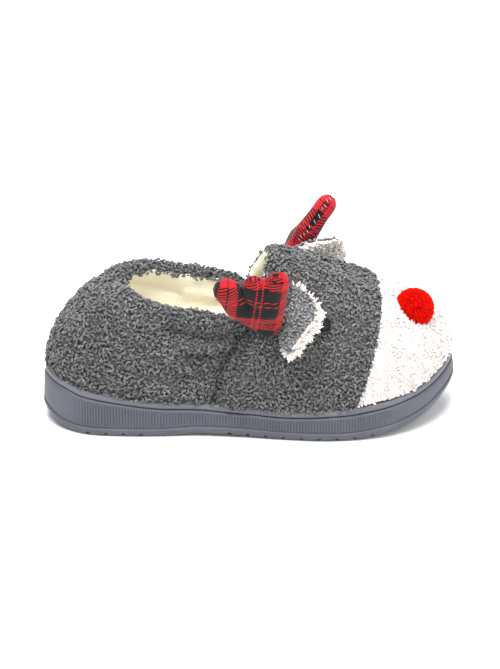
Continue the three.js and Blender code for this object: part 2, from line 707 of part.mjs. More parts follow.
// Where each trim is sewn, as shares of the length, ball width and instep height.
const spot = (along, across, up) => [
  along * LENGTH - HEEL_BACK,
  across * BALL_WIDTH,
  up * INSTEP_HEIGHT,
];
const PLACES = {
  ear_outer: { at: spot(0.579, -0.2, 0.83), points: [0.19, -0.72, -0.67], faces: [0.65, 0.4, -0.59] },
  ear_inner: { at: spot(0.61, 0.141, 0.855), points: [0.8, 0.55, -0.22], faces: [0.54, -0.84, 0.05] },
  antler_outer: { at: spot(0.54, -0.38, 0.65), points: [-0.12, -0.5, 0.86], faces: [0, -0.87, -0.5] },
  antler_inner: { at: spot(0.58, 0.34, 0.74), points: [0.6, 0.55, 0.6], faces: [0.84, -0.19, -0.41] },
  pompom: { at: spot(0.89, -0.1, 0.65), points: [1, 0, 0], faces: [0, 0, 1] },
  eye_outer: { at: spot(0.665, -0.39, 0.675), points: [1, 0, 0], faces: [0, 0, 1] },
  eye_inner: { at: spot(0.73, 0.39, 0.66), points: [1, 0, 0], faces: [0, 0, 1] },
};

// Assembly

const slipper = new THREE.Group();

function piece(name, solid, color, roughness) {
  const material = new THREE.MeshStandardMaterial({ color, roughness, metalness: 0 });
  const mesh = new THREE.Mesh(geometryFrom(solid), material);
  mesh.name = name;
  slipper.add(mesh);
}

const body = filledSolid(1).add(shellSolid(-GAP, WALL, { drop: 1, rim: RIM_THICK }));
const sewn = (solid, name) => place(solid, PLACES[name]).subtract(body);
// The largest body of a solid, without the slivers beyond a cut.
const largest = (solid) => solid.decompose().reduce((a, b) => (b.volume() > a.volume() ? b : a));

piece("sole", soleSolid(), 0x6d707c, 0.55);
piece("rand", randSolid(), 0x83848f, 0.5);
piece("insole", insoleSolid(), 0xf1e8d2, 0.9);
piece("upper", upperSolid(), 0x6f6f70, 0.95);
piece("toe_cap", toeCapSolid(), 0xf4f1ee, 0.95);
for (const side of ["outer", "inner"]) {
  const clear = place(antlerSolid(GAP), PLACES[`antler_${side}`]);
  const ear = (...layer) => largest(sewn(earSolid(...layer), `ear_${side}`).subtract(clear));
  piece(`ear_${side}_back`, ear(-EAR_LAYER, -GAP / 2), 0x6f6f70, 0.95);
  piece(`ear_${side}_front`, ear(GAP / 2, EAR_LAYER, EAR_FRINGE), 0xf4f1ee, 0.95);
  piece(`antler_${side}`, sewn(antlerSolid(), `antler_${side}`), 0xb8282c, 0.85);
  const earRoom = earSolid(-EAR_LAYER - GAP, EAR_LAYER + GAP, EAR_FRINGE + GAP);
  const eye = sewn(eyeSolid(), `eye_${side}`).subtract(place(earRoom, PLACES[`ear_${side}`]));
  piece(`eye_${side}`, largest(eye), 0x101012, 0.25);
}
piece("pompom", sewn(pompomSolid(), "pompom"), 0xe0231c, 0.9);

export default slipper;
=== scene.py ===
"""Looks of a closed-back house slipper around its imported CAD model.

A ribbed rubber sole and its lip, a curly grey fleece upper with a cream plush lining,
a white boucle toe panel, fleece ears, stuffed tartan antlers, glossy eyes and a yarn pompom.
Metres, in the frame of the CAD: +X to the toe, +Y to the inner side of the foot, +Z up.
"""

import json
import math

import bmesh
import bpy
import numpy as np
from bpy.props import FloatProperty, FloatVectorProperty, IntProperty, PointerProperty
from mathutils import Matrix, Vector, kdtree
from mathutils.noise import noise as noise_at

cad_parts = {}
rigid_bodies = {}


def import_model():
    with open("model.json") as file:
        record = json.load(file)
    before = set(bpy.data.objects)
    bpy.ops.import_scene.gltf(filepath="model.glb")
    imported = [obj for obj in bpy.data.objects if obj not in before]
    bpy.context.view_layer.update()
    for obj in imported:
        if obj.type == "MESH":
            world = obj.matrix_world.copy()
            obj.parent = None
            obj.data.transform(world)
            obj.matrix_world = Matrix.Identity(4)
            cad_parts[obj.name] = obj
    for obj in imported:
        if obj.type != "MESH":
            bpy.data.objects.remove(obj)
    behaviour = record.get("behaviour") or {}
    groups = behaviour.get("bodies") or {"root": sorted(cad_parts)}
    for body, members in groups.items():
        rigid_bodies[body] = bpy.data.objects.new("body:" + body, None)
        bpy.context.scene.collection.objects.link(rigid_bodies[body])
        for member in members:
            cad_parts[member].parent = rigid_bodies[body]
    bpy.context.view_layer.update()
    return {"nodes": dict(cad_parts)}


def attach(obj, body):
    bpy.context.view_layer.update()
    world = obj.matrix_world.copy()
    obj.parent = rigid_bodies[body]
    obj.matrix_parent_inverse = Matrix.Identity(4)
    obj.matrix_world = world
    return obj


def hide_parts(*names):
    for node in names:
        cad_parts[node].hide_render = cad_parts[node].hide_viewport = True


bl_info = {
    "name": "Fleece house slipper",
    "version": (1, 0, 0),
    "blender": (4, 5, 0),
    "location": "3D View > Sidebar > Slipper",
    "description": "Dresses the slipper's solids in rubber, fleece, plush, tartan and yarn",
    "category": "Object",
}

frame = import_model()
MM = 0.001

# The last and the sole, with the names and values that the solids were made from, in millimetres
LENGTH = 270
BALL_WIDTH = 102
HEEL_BACK = 46
HEEL_HEIGHT = 25.5
TOE_SPRING = 19
INSTEP_HEIGHT = 116
BASE_BAND = 5.4
GROOVE_DEPTH = 1.1
GROOVE_WIDTH = 1.6
WALL_LEAN = 1.6
TREAD_BEVEL = 4
TREAD_CUT = 2.2
TREAD_CUT_DEPTH = 2.4
TREAD_PITCH = 11.4
FOREFOOT_CUTS = 10
HEEL_CUTS = 4
GAP = 0.3
RAND_HEIGHT = 4.4
RAND_THICK = 2.4
RAND_INSET = 1.9
TOE_TIP_SIDE = 0.11
EYE_RADIUS = 5
OUTER = -1
INNER = 1

OUTLINE = (
    {"along": 0.03, "outer": 0.205, "inner": 0.205},
    {"along": 0.105, "outer": 0.33, "inner": 0.33},
    {"along": 0.21, "outer": 0.372, "inner": 0.366},
    {"along": 0.38, "outer": 0.388, "inner": 0.338},
    {"along": 0.53, "outer": 0.445, "inner": 0.405},
    {"along": 0.68, "outer": 0.497, "inner": 0.503},
    {"along": 0.82, "outer": 0.456, "inner": 0.51},
    {"along": 0.92, "outer": 0.305, "inner": 0.44},
    {"along": 0.98, "outer": 0.085, "inner": 0.3},
)
SIDE_VIEW = (
    {"along": 0, "lift": 0.42, "side": 0.99},
    {"along": 0.045, "lift": 0.12, "side": 1.09},
    {"along": 0.095, "lift": 0, "side": 1.02},
    {"along": 0.27, "lift": 0, "side": 0.76},
    {"along": 0.38, "lift": 0.08, "side": 0.66},
    {"along": 0.48, "lift": 0.07, "side": 0.6},
    {"along": 0.57, "lift": 0, "side": 0.6},
    {"along": 0.7, "lift": 0, "side": 0.67},
    {"along": 0.8, "lift": 0.12, "side": 0.7},
    {"along": 0.9, "lift": 0.42, "side": 0.66},
    {"along": 0.955, "lift": 0.74, "side": 0.6},
    {"along": 1, "lift": 1, "side": 0.57},
)

# Where the trims are sewn: the origin, the way the trim points and the way its face looks
SEWN = {
    "ear_outer": ((0.579, -0.2, 0.83), (0.19, -0.72, -0.67), (0.65, 0.4, -0.59)),
    "ear_inner": ((0.61, 0.141, 0.855), (0.8, 0.55, -0.22), (0.54, -0.84, 0.05)),
    "antler_outer": ((0.54, -0.38, 0.65), (-0.12, -0.5, 0.86), (0, -0.87, -0.5)),
    "antler_inner": ((0.58, 0.34, 0.74), (0.6, 0.55, 0.6), (0.84, -0.19, -0.41)),
    "pompom": ((0.89, -0.1, 0.65), (1, 0, 0), (0, 0, 1)),
    "eye_outer": ((0.665, -0.39, 0.675), (1, 0, 0), (0, 0, 1)),
    "eye_inner": ((0.73, 0.39, 0.66), (1, 0, 0), (0, 0, 1)),
}

# How finely the looks are made, in millimetres
OUTLINE_STEP = 0.38  # along the sole's outline
EDGE_STEP = 1.15  # between the curls that hang over the lip
UPPER_VOXEL = 2.0
TRIM_VOXEL = 1.2
POMPOM_VOXEL = 0.9
EYE_VOXEL = 0.6

# Sole: the ribs begin and end at these shares of the length, and a cutter is this wide
RIBS_FROM = 0.045
RIBS_TO = 0.9
CUT_REACH = 160

# Upper, in millimetres
FOOT_LINE = [[16, 0, 62], [60, -3, 56], [100, -2, 58], [140, 3, 52], [192, 8, 46]]
PART_LINE = 62  # X where the vamp's fleece begins
THROAT = (78, 104, 84)  # X from and to, and Z above, where the lining shows up to the edge
RIM_ABOVE = 50  # Z above which the wall's edge is the collar's rim
RIM_BEHIND = 82  # X behind which it is
RIM_WRAP = 3.2  # by which the fleece is turned in over the rim
EDGE_HANG = 2.2  # by which the vamp's fleece hangs over the lip
EYE_ROOM = 1.8  # free of curls round an eye
EAR_ROOM = 3.2  # free of curls round an ear
COLLAR_RIM = ([-10, 8, 40, 70, 84, 96, 104], [96, 96, 89, 82, 80, 98, 114])  # X and Z
COLLAR_SEAM = (17, 2.2)  # depth below the rim and half width of the lining's seam
COLLAR_SEAM_DEPTH = 1.8
COLLAR_ROLL = (8, 6)  # depth below the rim and half width of the padded roll
COLLAR_ROLL_RISE = 1.6
TOE_SEAM = ((0.7, 0), (0.815, 0.45), (0.835, 1.3))  # as shares of length and instep height
FOLD_LIMIT = 6  # the deepest fold; the lining follows it
SIDE_SEAM = [(89, 82), (79, 68), (70, 48), (64, 24)]  # (x, z) of the vamp's rear edge
# Folds seen from the side: the line, depth, half width, and side of the foot or 0 for both
FOLDS = (
    (SIDE_SEAM, 5.0, 3.6, 0),
    ([(100, 80), (91, 62), (83, 44), (77, 26)], -2.6, 6.5, 0),
    ([(84, 74), (68, 70), (50, 72), (36, 76)], 4.6, 4.0, OUTER),
    ([(80, 62), (64, 57), (48, 56)], 4.0, 3.8, OUTER),
    ([(82, 68), (64, 64), (48, 64)], -1.5, 3.0, OUTER),
    ([(74, 50), (60, 45), (44, 40)], 2.4, 4.0, OUTER),
    ([(84, 74), (66, 70), (48, 72)], 4.0, 4.0, INNER),
    ([(78, 60), (62, 55), (46, 56)], 3.2, 3.8, INNER),
    ([(4, 38), (30, 32), (52, 32)], -2.0, 8.0, 0),
    ([(-4, 84), (-12, 66), (-14, 48)], 1.8, 6.0, 0),
    ([(128, 78), (132, 60), (126, 44)], 2.0, 5.0, OUTER),
    ([(112, 54), (128, 40), (150, 34)], -1.6, 7.0, 0),
)

# Pile and trims, in millimetres
CLUMP = 4.2  # across a clump of curls
CLUMP_RISE = 1.5  # by which clumps stand out or sink in
CURL_RADII = (0.34, 0.6, 0.68, 0.68, 0.6, 0.34)  # of a curl from end to end, as shares of its arc
EAR_CURL = 1.05  # radius of a curl's arc on an ear
BARE_EDGE = 1.3  # of the ear's back that stays bare along its edge
LOCK_LENGTHS = (2.2, 4.0)  # of the ragged rim's locks
LOCK_ROOM = 3  # free of locks round an eye
EDGE_ROUND = 7  # radius of the antler's rounded edge
EDGE_SEAM_WIDTH = 1.1
EDGE_SEAM_DEPTH = 0.7
STUFFING_SWELL = 0.3
STITCH_GAP = 2.4
STITCH_REACH = 1.5
YARN_ROOT = 9.4  # radius at which the pompom's strands begin

# Tartan, in millimetres
SETT = 40  # after which the pattern repeats
BLACK_BAND = 26  # of it that are black
RED_LINES = (11.4, 15.0)  # at which a pair of red lines runs through the black band
THIN_LINE = 1.1
BLACK_LINE = 33  # at which a black line runs through the red band
HATCH = 2.1  # between the slanting lines of the twill, which real yarn has closer
TWILL_SLANT = 0.4

# Stage, in metres and degrees
FLOOR_SIZE = 40
SKY_LIGHT = 0.62
LAMPS = (
    ("key", (-0.15, -0.6, 1.7), 0.9, 35),
    ("fill", (0.9, -0.9, 0.9), 1.2, 9),
    ("back", (0.1, 0.9, 1.4), 1.0, 20),
)
LAMPS_AIM = (0.09, 0.0, 0.05)
LENS = 132
AZIMUTH = -3
ELEVATION = 25
CAMERA_PIVOT = (0.1, 0, 0.04)
CAMERA_AWAY = 1.6
CAMERA_AIM = (0.089, 0, 0.054)


# Sizes and colours that a user would change


def colour(name, text, code):
    """A colour property whose default is an sRGB hex value."""
    return FloatVectorProperty(
        name=name, description=text, subtype="COLOR", size=4, min=0, max=1, default=linear(code)
    )


def length(name, text, millimetres):
    """A length property whose default is given in millimetres."""
    return FloatProperty(
        name=name, description=text, unit="LENGTH", min=0, default=millimetres * MM
    )


def linear(code):
    """An sRGB hex value such as #6D707C as linear red, green, blue and alpha."""
    channels = [int(code[i : i + 2], 16) / 255 for i in (1, 3, 5)]
    return (*[c / 12.92 if c <= 0.04045 else ((c + 0.055) / 1.055) ** 2.4 for c in channels], 1.0)


class SlipperSizes(bpy.types.PropertyGroup):
    """Sizes of the pile, the ribs and the yarn."""

    curl_spacing: length("Curl spacing", "Distance between two curls of the fleece", 1.8)
    curl_size: length("Curl size", "Radius of a curl's arc", 1.12)
    boucle_spacing: length("Boucle spacing", "Distance between two curls of the toe panel", 1.75)
    boucle_size: length("Boucle size", "Radius of a curl's arc on the toe panel", 1.15)
    rib_pitch: length("Rib pitch", "Distance between two ribs of the sole's side", 1.9)
    rib_depth: length("Rib depth", "Depth of the ribs of the sole's side", 0.85)
    strand_length: length("Strand length", "Length of the pompom's cut yarn", 3.4)
    strands: IntProperty(
        name="Strands", description="Number of cut yarn ends on the pompom", min=100, default=5200
    )


class SlipperColours(bpy.types.PropertyGroup):
    """Colours of the slipper's materials, and the painted shade of the pile and the plush."""

    fleece: colour("Fleece", "Grey curly fleece", "#939394")
    # Painted shade: the fleece's colour between its curls, where shade falls
    fleece_root: colour("Fleece root", "Grey fleece between the curls", "#232425")
    boucle: colour("Boucle", "White fleece of the toe panel and the ears", "#E9E3DE")
    # Painted shade: the boucle's colour between its curls
    boucle_root: colour("Boucle root", "White fleece between the curls", "#E0D9D3")
    plush: colour("Plush", "Cream plush of the lining", "#FFFBEA")
    # Painted shade: the plush's yellower colour in its folds
    plush_root: colour("Plush root", "Cream plush in its folds", "#F7E9C0")
    rubber: colour("Rubber", "Moulded rubber of the sole", "#575A63")
    lip: colour("Lip", "Moulded rubber of the lip above the sole", "#6B6C74")
    tartan_red: colour("Tartan red", "Red yarn of the tartan", "#BC1A23")
    tartan_black: colour("Tartan black", "Black yarn of the tartan", "#0D0E10")
    yarn: colour("Yarn", "Red yarn of the pompom", "#FF1C0E")
    eye: colour("Eye", "Black eye", "#08080A")
    floor: colour("Floor", "Pale floor", "#F4F4F4")


# Small tools


def smooth_table(rows, name):
    """A smooth curve through one column of a table, flat between rows that are equal."""
    x = [row["along"] for row in rows]
    y = [row[name] for row in rows]
    slope = [(y[i + 1] - y[i]) / (x[i + 1] - x[i]) for i in range(len(x) - 1)]
    before = [slope[0], *slope]
    after = [*slope, slope[-1]]
    tangent = [2 * a * b / (a + b) if a * b > 0 else 0 for a, b in zip(before, after)]
    xs, ys, ts = np.array(x, float), np.array(y, float), np.array(tangent, float)

    def curve(along):
        at = np.clip(along, x[0], x[-1])
        i = np.clip(np.searchsorted(x, at) - 1, 0, len(x) - 2)
        step = xs[i + 1] - xs[i]
        t = (at - xs[i]) / step
        return (
            ys[i] * (1 + 2 * t) * (1 - t) ** 2
            + ys[i + 1] * t * t * (3 - 2 * t)
            + ts[i] * step * t * (1 - t) ** 2
            - ts[i + 1] * step * t * t * (1 - t)
        )

    return curve


lift_share = smooth_table(SIDE_VIEW, "lift")
side_share = smooth_table(SIDE_VIEW, "side")


def tread_height(along):
    return lift_share(along) * TOE_SPRING


def sole_top(along):
    return tread_height(along) + side_share(along) * HEEL_HEIGHT


def outline(spacing):
    """Points and outward directions of the sole's outline at an even spacing, in millimetres.

    The line runs from the back of the heel along the outer side to the toe, and back.
    """

    def row(entry, side):
        share = entry["outer"] if side == OUTER else entry["inner"]
        return np.array([entry["along"] * LENGTH - HEEL_BACK, side * share * BALL_WIDTH])

    knots = [np.array([-HEEL_BACK, 0.0])]
    knots += [row(entry, OUTER) for entry in OUTLINE]
    knots += [np.array([LENGTH - HEEL_BACK, TOE_TIP_SIDE * BALL_WIDTH])]
    knots += [row(entry, INNER) for entry in reversed(OUTLINE)]
    count = len(knots)
    fine = []
    for i in range(count):
        p = [knots[(i + k) % count] for k in (-1, 0, 1, 2)]
        d = [math.dist(a, b) ** 0.5 for a, b in zip(p, p[1:])]
        t1 = (p[1] - p[0]) / d[0] - (p[2] - p[0]) / (d[0] + d[1]) + (p[2] - p[1]) / d[1]
        t2 = (p[2] - p[1]) / d[1] - (p[3] - p[1]) / (d[1] + d[2]) + (p[3] - p[2]) / d[2]
        t1, t2 = t1 * d[1], t2 * d[1]
        for t in np.linspace(0, 1, 60, endpoint=False):
            cubic = (-3 * p[1] + 3 * p[2] - 2 * t1 - t2) * t**2
            cubic += (2 * p[1] - 2 * p[2] + t1 + t2) * t**3
            fine.append(p[1] + t1 * t + cubic)
    fine = np.array([*fine, fine[0]])
    run = np.concatenate([[0], np.cumsum(np.linalg.norm(np.diff(fine, axis=0), axis=1))])
    steps = 2 * round(run[-1] / spacing / 2)
    at = np.linspace(0, run[-1], steps, endpoint=False)
    points = np.column_stack([np.interp(at, run, fine[:, k]) for k in (0, 1)])
    ahead = np.roll(points, -1, axis=0) - np.roll(points, 1, axis=0)
    ahead /= np.linalg.norm(ahead, axis=1)[:, None]
    return points, np.column_stack([ahead[:, 1], -ahead[:, 0]]), at


def mesh_of(name, shape):
    """Turns a bmesh into a mesh."""
    mesh = bpy.data.meshes.new(name)
    shape.to_mesh(mesh)
    shape.free()
    return mesh


def linked(name, data):
    """An object of a mesh, a lamp or a camera, linked to the scene."""
    made = bpy.data.objects.new(name, data)
    bpy.context.scene.collection.objects.link(made)
    return made


def dress(name, mesh, *materials):
    """A piece of a mesh with its materials, which rides with the body."""
    mesh.name = name
    mesh.materials.clear()
    for material in materials:
        mesh.materials.append(material)
    mesh.shade_smooth()
    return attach(linked(name, mesh), "root")


def new_piece(name, shape, material):
    """A piece of a bmesh."""
    return dress(name, mesh_of(name, shape), material)


def applied(piece):
    """A new mesh of an object with its modifiers applied."""
    bpy.context.view_layer.update()
    graph = bpy.context.evaluated_depsgraph_get()
    return bpy.data.meshes.new_from_object(piece.evaluated_get(graph))


def remeshed(node, voxel, smoothing):
    """A CAD node's shape as an even net of quads, in a new mesh; the voxel is in millimetres."""
    shape = bmesh.new()
    shape.from_mesh(frame["nodes"][node].data)
    bmesh.ops.remove_doubles(shape, verts=shape.verts, dist=0.01 * MM)
    mesh = mesh_of("net", shape)
    holder = linked("net", mesh)
    remesh = holder.modifiers.new("remesh", "REMESH")
    remesh.mode = "VOXEL"
    remesh.voxel_size = voxel * MM
    soften = holder.modifiers.new("soften", "SMOOTH")
    soften.factor = 0.5
    soften.iterations = smoothing
    made = applied(holder)
    bpy.data.objects.remove(holder)
    bpy.data.meshes.remove(mesh)
    return made


def vectors(items, name):
    """One vector of each item, such as a mesh's polygons, as rows of an array."""
    out = np.empty(len(items) * 3, np.float32)
    items.foreach_get(name, out)
    return out.reshape(-1, 3).astype(float)


def points_of(mesh):
    return vectors(mesh.vertices, "co")


def normals_of(mesh):
    return vectors(mesh.vertex_normals, "vector")


def move_points(mesh, points):
    mesh.vertices.foreach_set("co", np.asarray(points, np.float32).ravel())
    mesh.update()


def triangles_of(mesh):
    mesh.calc_loop_triangles()
    out = np.empty(len(mesh.loop_triangles) * 3, np.int32)
    mesh.loop_triangles.foreach_get("vertices", out)
    return out.reshape(-1, 3)


def unit(rows):
    return rows / np.maximum(np.linalg.norm(rows, axis=-1, keepdims=True), 1e-12)


def tree_of(points):
    """A search tree of points."""
    tree = kdtree.KDTree(len(points))
    for i, point in enumerate(points):
        tree.insert(point, i)
    tree.balance()
    return tree


def distances(tree, spots):
    """How far each spot is from the nearest point of a search tree."""
    return np.array([tree.find(spot)[2] for spot in spots])


def scatter(mesh, spacing, seed, keep):
    """Points on a mesh at least the spacing apart, with their normals, where keep allows them."""
    rng = np.random.default_rng(seed)
    points, normals, faces = points_of(mesh), normals_of(mesh), triangles_of(mesh)
    a, b, c = (points[faces[:, k]] for k in (0, 1, 2))
    area = np.linalg.norm(np.cross(b - a, c - a), axis=1)
    tries = int(area.sum() / 2 / spacing**2 * 7)
    picked = faces[rng.choice(len(faces), tries, p=area / area.sum())]
    a, b = np.sqrt(rng.random(tries)), rng.random(tries)
    weights = np.column_stack([1 - a, a * (1 - b), a * b])[:, :, None]
    spots = (points[picked] * weights).sum(1)
    facing = unit((normals[picked] * weights).sum(1))
    allowed = keep(spots, facing)
    spots, facing = spots[allowed], facing[allowed]
    tree = tree_of(spots)
    free = np.ones(len(spots), bool)
    kept = []
    for i, spot in enumerate(spots):
        if free[i]:
            kept.append(i)
            for _, j, _ in tree.find_range(spot, spacing):
                free[j] = False
    return spots[kept], facing[kept]


def tube(path, radii, sides):
    """Vertices and quads of an open tube along a path, its ends drawn in by small radii."""
    path = np.array(path, float)
    ahead = unit(np.gradient(path, axis=0))
    shape = bmesh.new()
    rings = []
    for point, way, radius in zip(path, ahead, radii):
        turn = Vector(way).to_track_quat("Z", "Y").to_matrix().to_4x4()
        made = bmesh.ops.create_circle(
            shape, segments=sides, radius=radius, matrix=Matrix.Translation(point) @ turn
        )
        rings.append(made["verts"])
    for low, high in zip(rings, rings[1:]):
        for k in range(sides):
            m = (k + 1) % sides
            shape.faces.new((low[k], low[m], high[m], high[k]))
    shape.verts.index_update()
    points = np.array([v.co[:] for v in shape.verts])
    quads = np.array([[v.index for v in face.verts] for face in shape.faces])
    along = np.repeat(np.linspace(0, 1, len(path)), sides)
    shape.free()
    return points, quads, along


def plant(template, spots, frames, sizes, shades, facing=None):
    """Copies a template of quads to every spot, turned by its frame, as one mesh.

    shades is a brightness for each copy. Where a copy stands on cloth, "tip" is its points' height
    over the cloth, and elsewhere it is their place along the tube.
    """
    points, quads, along = template
    count = len(spots)
    offsets = np.einsum("vk,nkj->nvj", points, frames)
    tips = np.tile(along, (count, 1))
    if facing is not None:
        tips = 0.5 + 0.45 * np.einsum("nvj,nj->nv", offsets, facing)
    placed = offsets * sizes[:, None, None] + spots[:, None, :]
    faces = quads[None] + (np.arange(count) * len(points))[:, None, None]
    mesh = bpy.data.meshes.new("planted")
    mesh.vertices.add(count * len(points))
    mesh.vertices.foreach_set("co", placed.astype(np.float32).ravel())
    mesh.loops.add(faces.size)
    mesh.loops.foreach_set("vertex_index", faces.astype(np.int32).ravel())
    mesh.polygons.add(faces.size // 4)
    mesh.polygons.foreach_set("loop_start", np.arange(0, faces.size, 4, dtype=np.int32))
    mesh.update(calc_edges=True)
    for name, values in (("shade", np.repeat(shades, len(points))), ("tip", tips)):
        attribute = mesh.attributes.new(name, "FLOAT", "POINT")
        attribute.data.foreach_set("value", values.astype(np.float32).ravel())
    return mesh


def join_meshes(name, meshes, material):
    """One piece of several planted meshes."""
    shape = bmesh.new()
    for mesh in meshes:
        shape.from_mesh(mesh)
        bpy.data.meshes.remove(mesh)
    return new_piece(name, shape, material)


def curl_templates():
    """Three short curls of pile: a hook, a wide bow and a tight ring, of unit arc radius."""
    made = []
    for sweep, squash, rise in ((210, 1.0, 0.3), (160, 0.8, 0.5), (300, 0.9, 0.4)):
        angles = np.radians(np.linspace(-sweep / 2, sweep / 2, 6))
        path = np.column_stack([np.cos(angles), squash * np.sin(angles), rise * angles / 3])
        made.append(tube(path, CURL_RADII, 4))
    return made


def plant_curls(spots, facing, size, rng, lift, dark):
    """Meshes of curls that lie in random directions on the spots."""
    count = len(spots)
    aside = unit(np.cross(facing, unit(rng.normal(size=(count, 3)))))
    other = np.cross(facing, aside)
    tilt = rng.uniform(0.1, 1.2, count)[:, None]
    up = unit(facing * np.sin(tilt) + aside * np.cos(tilt))
    frames = np.stack([up, other, np.cross(up, other)], axis=1)
    sizes = size * rng.uniform(0.75, 1.2, count)
    clump = np.array([noise_at(Vector(spot) / (CLUMP * MM)) for spot in spots])
    # Painted shade: each curl's random tone is darkened in the folds and where its clump sinks in
    shades = rng.uniform(0.2, 1, count) * (1 - dark) * np.clip(0.85 + 0.6 * clump, 0.4, 1)
    rise = size * (lift + rng.uniform(-0.15, 0.35, count)) + clump * CLUMP_RISE * MM
    raised = spots + facing * rise[:, None]
    kinds = rng.integers(0, 3, count)
    return [
        plant(template, raised[c], frames[c], sizes[c], shades[c], facing[c])
        for template, c in ((t, kinds == k) for k, t in enumerate(curl_templates()))
    ]


def grow_curls(name, mesh, spacing, size, seed, keep, material, lift=0.25, shadow=None):
    """Covers the part of a mesh where keep allows it with curls; shadow darkens them in folds."""
    spots, facing = scatter(mesh, spacing, seed, keep)
    dark = shadow(spots) if shadow else 0.0
    rng = np.random.default_rng(seed + 1)
    return join_meshes(name, plant_curls(spots, facing, size, rng, lift, dark), material)


# Materials


def add(tree, kind, inputs=None, **settings):
    """Adds a node with its settings; an input is a value or the socket it is linked to."""
    made = tree.nodes.new(kind)
    for name, value in settings.items():
        setattr(made, name, value)
    for key, value in (inputs or {}).items():
        if isinstance(value, bpy.types.NodeSocket):
            tree.links.new(value, made.inputs[key])
        else:
            made.inputs[key].default_value = value
    return made


def new_material(name):
    """An empty material and its node tree."""
    material = bpy.data.materials.new(name)
    material.use_nodes = True
    material.node_tree.nodes.clear()
    return material, material.node_tree


def finish_material(tree, colour_socket, bump_socket=None, distance=0.1, strength=0.6, **surface):
    """Ends a material in one shader: the surface's constants are set on its own sockets."""
    inputs = {"Base Color": colour_socket}
    if bump_socket is not None:
        relief = {"Height": bump_socket, "Distance": distance * MM, "Strength": strength}
        inputs["Normal"] = add(tree, "ShaderNodeBump", relief).outputs["Normal"]
    inputs.update({name.replace("_", " "): value for name, value in surface.items()})
    shader = add(tree, "ShaderNodeBsdfPrincipled", inputs)
    add(tree, "ShaderNodeOutputMaterial", {"Surface": shader.outputs["BSDF"]})


def place_socket(tree):
    """Object coordinates."""
    return add(tree, "ShaderNodeTexCoord").outputs["Object"]


def attribute_socket(tree, name):
    """A planted mesh's attribute."""
    return add(tree, "ShaderNodeAttribute", attribute_name=name).outputs["Fac"]


def noise(tree, place, millimetres, detail=2.0, roughness=0.5):
    """Noise whose lumps are about this many millimetres across."""
    inputs = {
        "Vector": place,
        "Scale": 1 / (millimetres * MM),
        "Detail": detail,
        "Roughness": roughness,
    }
    return add(tree, "ShaderNodeTexNoise", inputs).outputs["Fac"]


def stretch(tree, value, low, high, out_low=0.0, out_high=1.0):
    """Maps the range low to high onto another range, clamped."""
    inputs = {
        "Value": value,
        "From Min": low,
        "From Max": high,
        "To Min": out_low,
        "To Max": out_high,
    }
    return add(tree, "ShaderNodeMapRange", inputs).outputs["Result"]


def maths(tree, operation, *values):
    inputs = dict(enumerate(values))
    return add(tree, "ShaderNodeMath", inputs, operation=operation).outputs[0]


def mix_colours(tree, factor, a, b):
    """Mixes two colours, each a socket or a value."""
    return add(tree, "ShaderNodeMix", {0: factor, 6: a, 7: b}, data_type="RGBA").outputs[2]


def colours():
    return bpy.context.scene.slipper_colours


def pile_colours(name):
    """The colours of a pile's tops and of its roots; the roots' colour is painted shade."""
    return tuple(getattr(colours(), name)), tuple(getattr(colours(), f"{name}_root"))


def shaded(base, share):
    """A darker or a lighter shade of a colour."""
    return (*(min(1.0, share * c) for c in base[:3]), 1.0)


def pile_material(name, tip_colour, painted_shade_colour, patch=14, contrast=1.0):
    """Polyester pile, napped and curled: its own colour on its tops, and painted shade between the
    curls.
    """
    material, tree = new_material(name)
    place = place_socket(tree)
    shade, tip = attribute_socket(tree, "shade"), attribute_socket(tree, "tip")
    patches = noise(tree, place, patch, 3)
    fibre = noise(tree, place, 0.5, 3, 0.65)
    # Painted shade: the nearer a point is to the cloth or to a lock's root, the more root colour it
    # takes; the shade attribute adds each curl's random tone and the painted shadow of folds and
    # sunken clumps; patches and fibre vary the tone at random
    painted_shade_and_tone = stretch(tree, tip, 0.1, 1.0, 1 - 0.75 * contrast, 1.0)
    for value, low, high, loss in (
        (shade, 0, 1, 0.62),
        (patches, 0.3, 0.7, 0.2),
        (fibre, 0.3, 0.7, 0.3),
    ):
        part = stretch(tree, value, low, high, 1 - loss * contrast, 1.0)
        painted_shade_and_tone = maths(tree, "MULTIPLY", painted_shade_and_tone, part)
    finish_material(
        tree,
        mix_colours(tree, painted_shade_and_tone, painted_shade_colour, tip_colour),
        fibre,
        distance=0.35,
        strength=0.7,
        Roughness=0.92,
        Sheen_Weight=0.2,
        Sheen_Roughness=0.5,
        Specular_IOR_Level=0.2,
    )
    return material


def backing_material(name, tip_colour, painted_shade_colour):
    """The knitted ground of the pile, in painted shade: it shows only as the dark between the curls.
    """
    material, tree = new_material(name)
    lumps = noise(tree, place_socket(tree), 1.6, 3)
    # Painted shade: the dips of the lumps take the root colour, and even the tops stay near it
    mixed = mix_colours(tree, stretch(tree, lumps, 0.35, 0.75, 0.0, 0.55), painted_shade_colour, tip_colour)
    finish_material(tree, mixed, lumps, distance=0.8, Roughness=0.95, Specular_IOR_Level=0.15)
    return material


def plush_material():
    """Cream sherpa lining: short, dense and matt, with painted shade a little yellow in its folds.
    """
    material, tree = new_material("cream_plush_lining")
    place = place_socket(tree)
    nap = noise(tree, place, 1.1, 4, 0.6)
    patches = noise(tree, place, 16, 2)
    # Painted shade: the nap's dips take the yellower root colour; the patches vary the tone at
    # random
    tops = stretch(tree, nap, 0.25, 0.6, 0.8, 1.0)
    painted_shade_and_tone = maths(tree, "MULTIPLY", tops, stretch(tree, patches, 0.3, 0.6, 0.92, 1.0))
    plush, root = pile_colours("plush")
    finish_material(
        tree,
        mix_colours(tree, painted_shade_and_tone, root, plush),
        nap,
        distance=0.6,
        Roughness=0.95,
        Sheen_Weight=0.2,
        Sheen_Roughness=0.5,
        Specular_IOR_Level=0.15,
    )
    return material


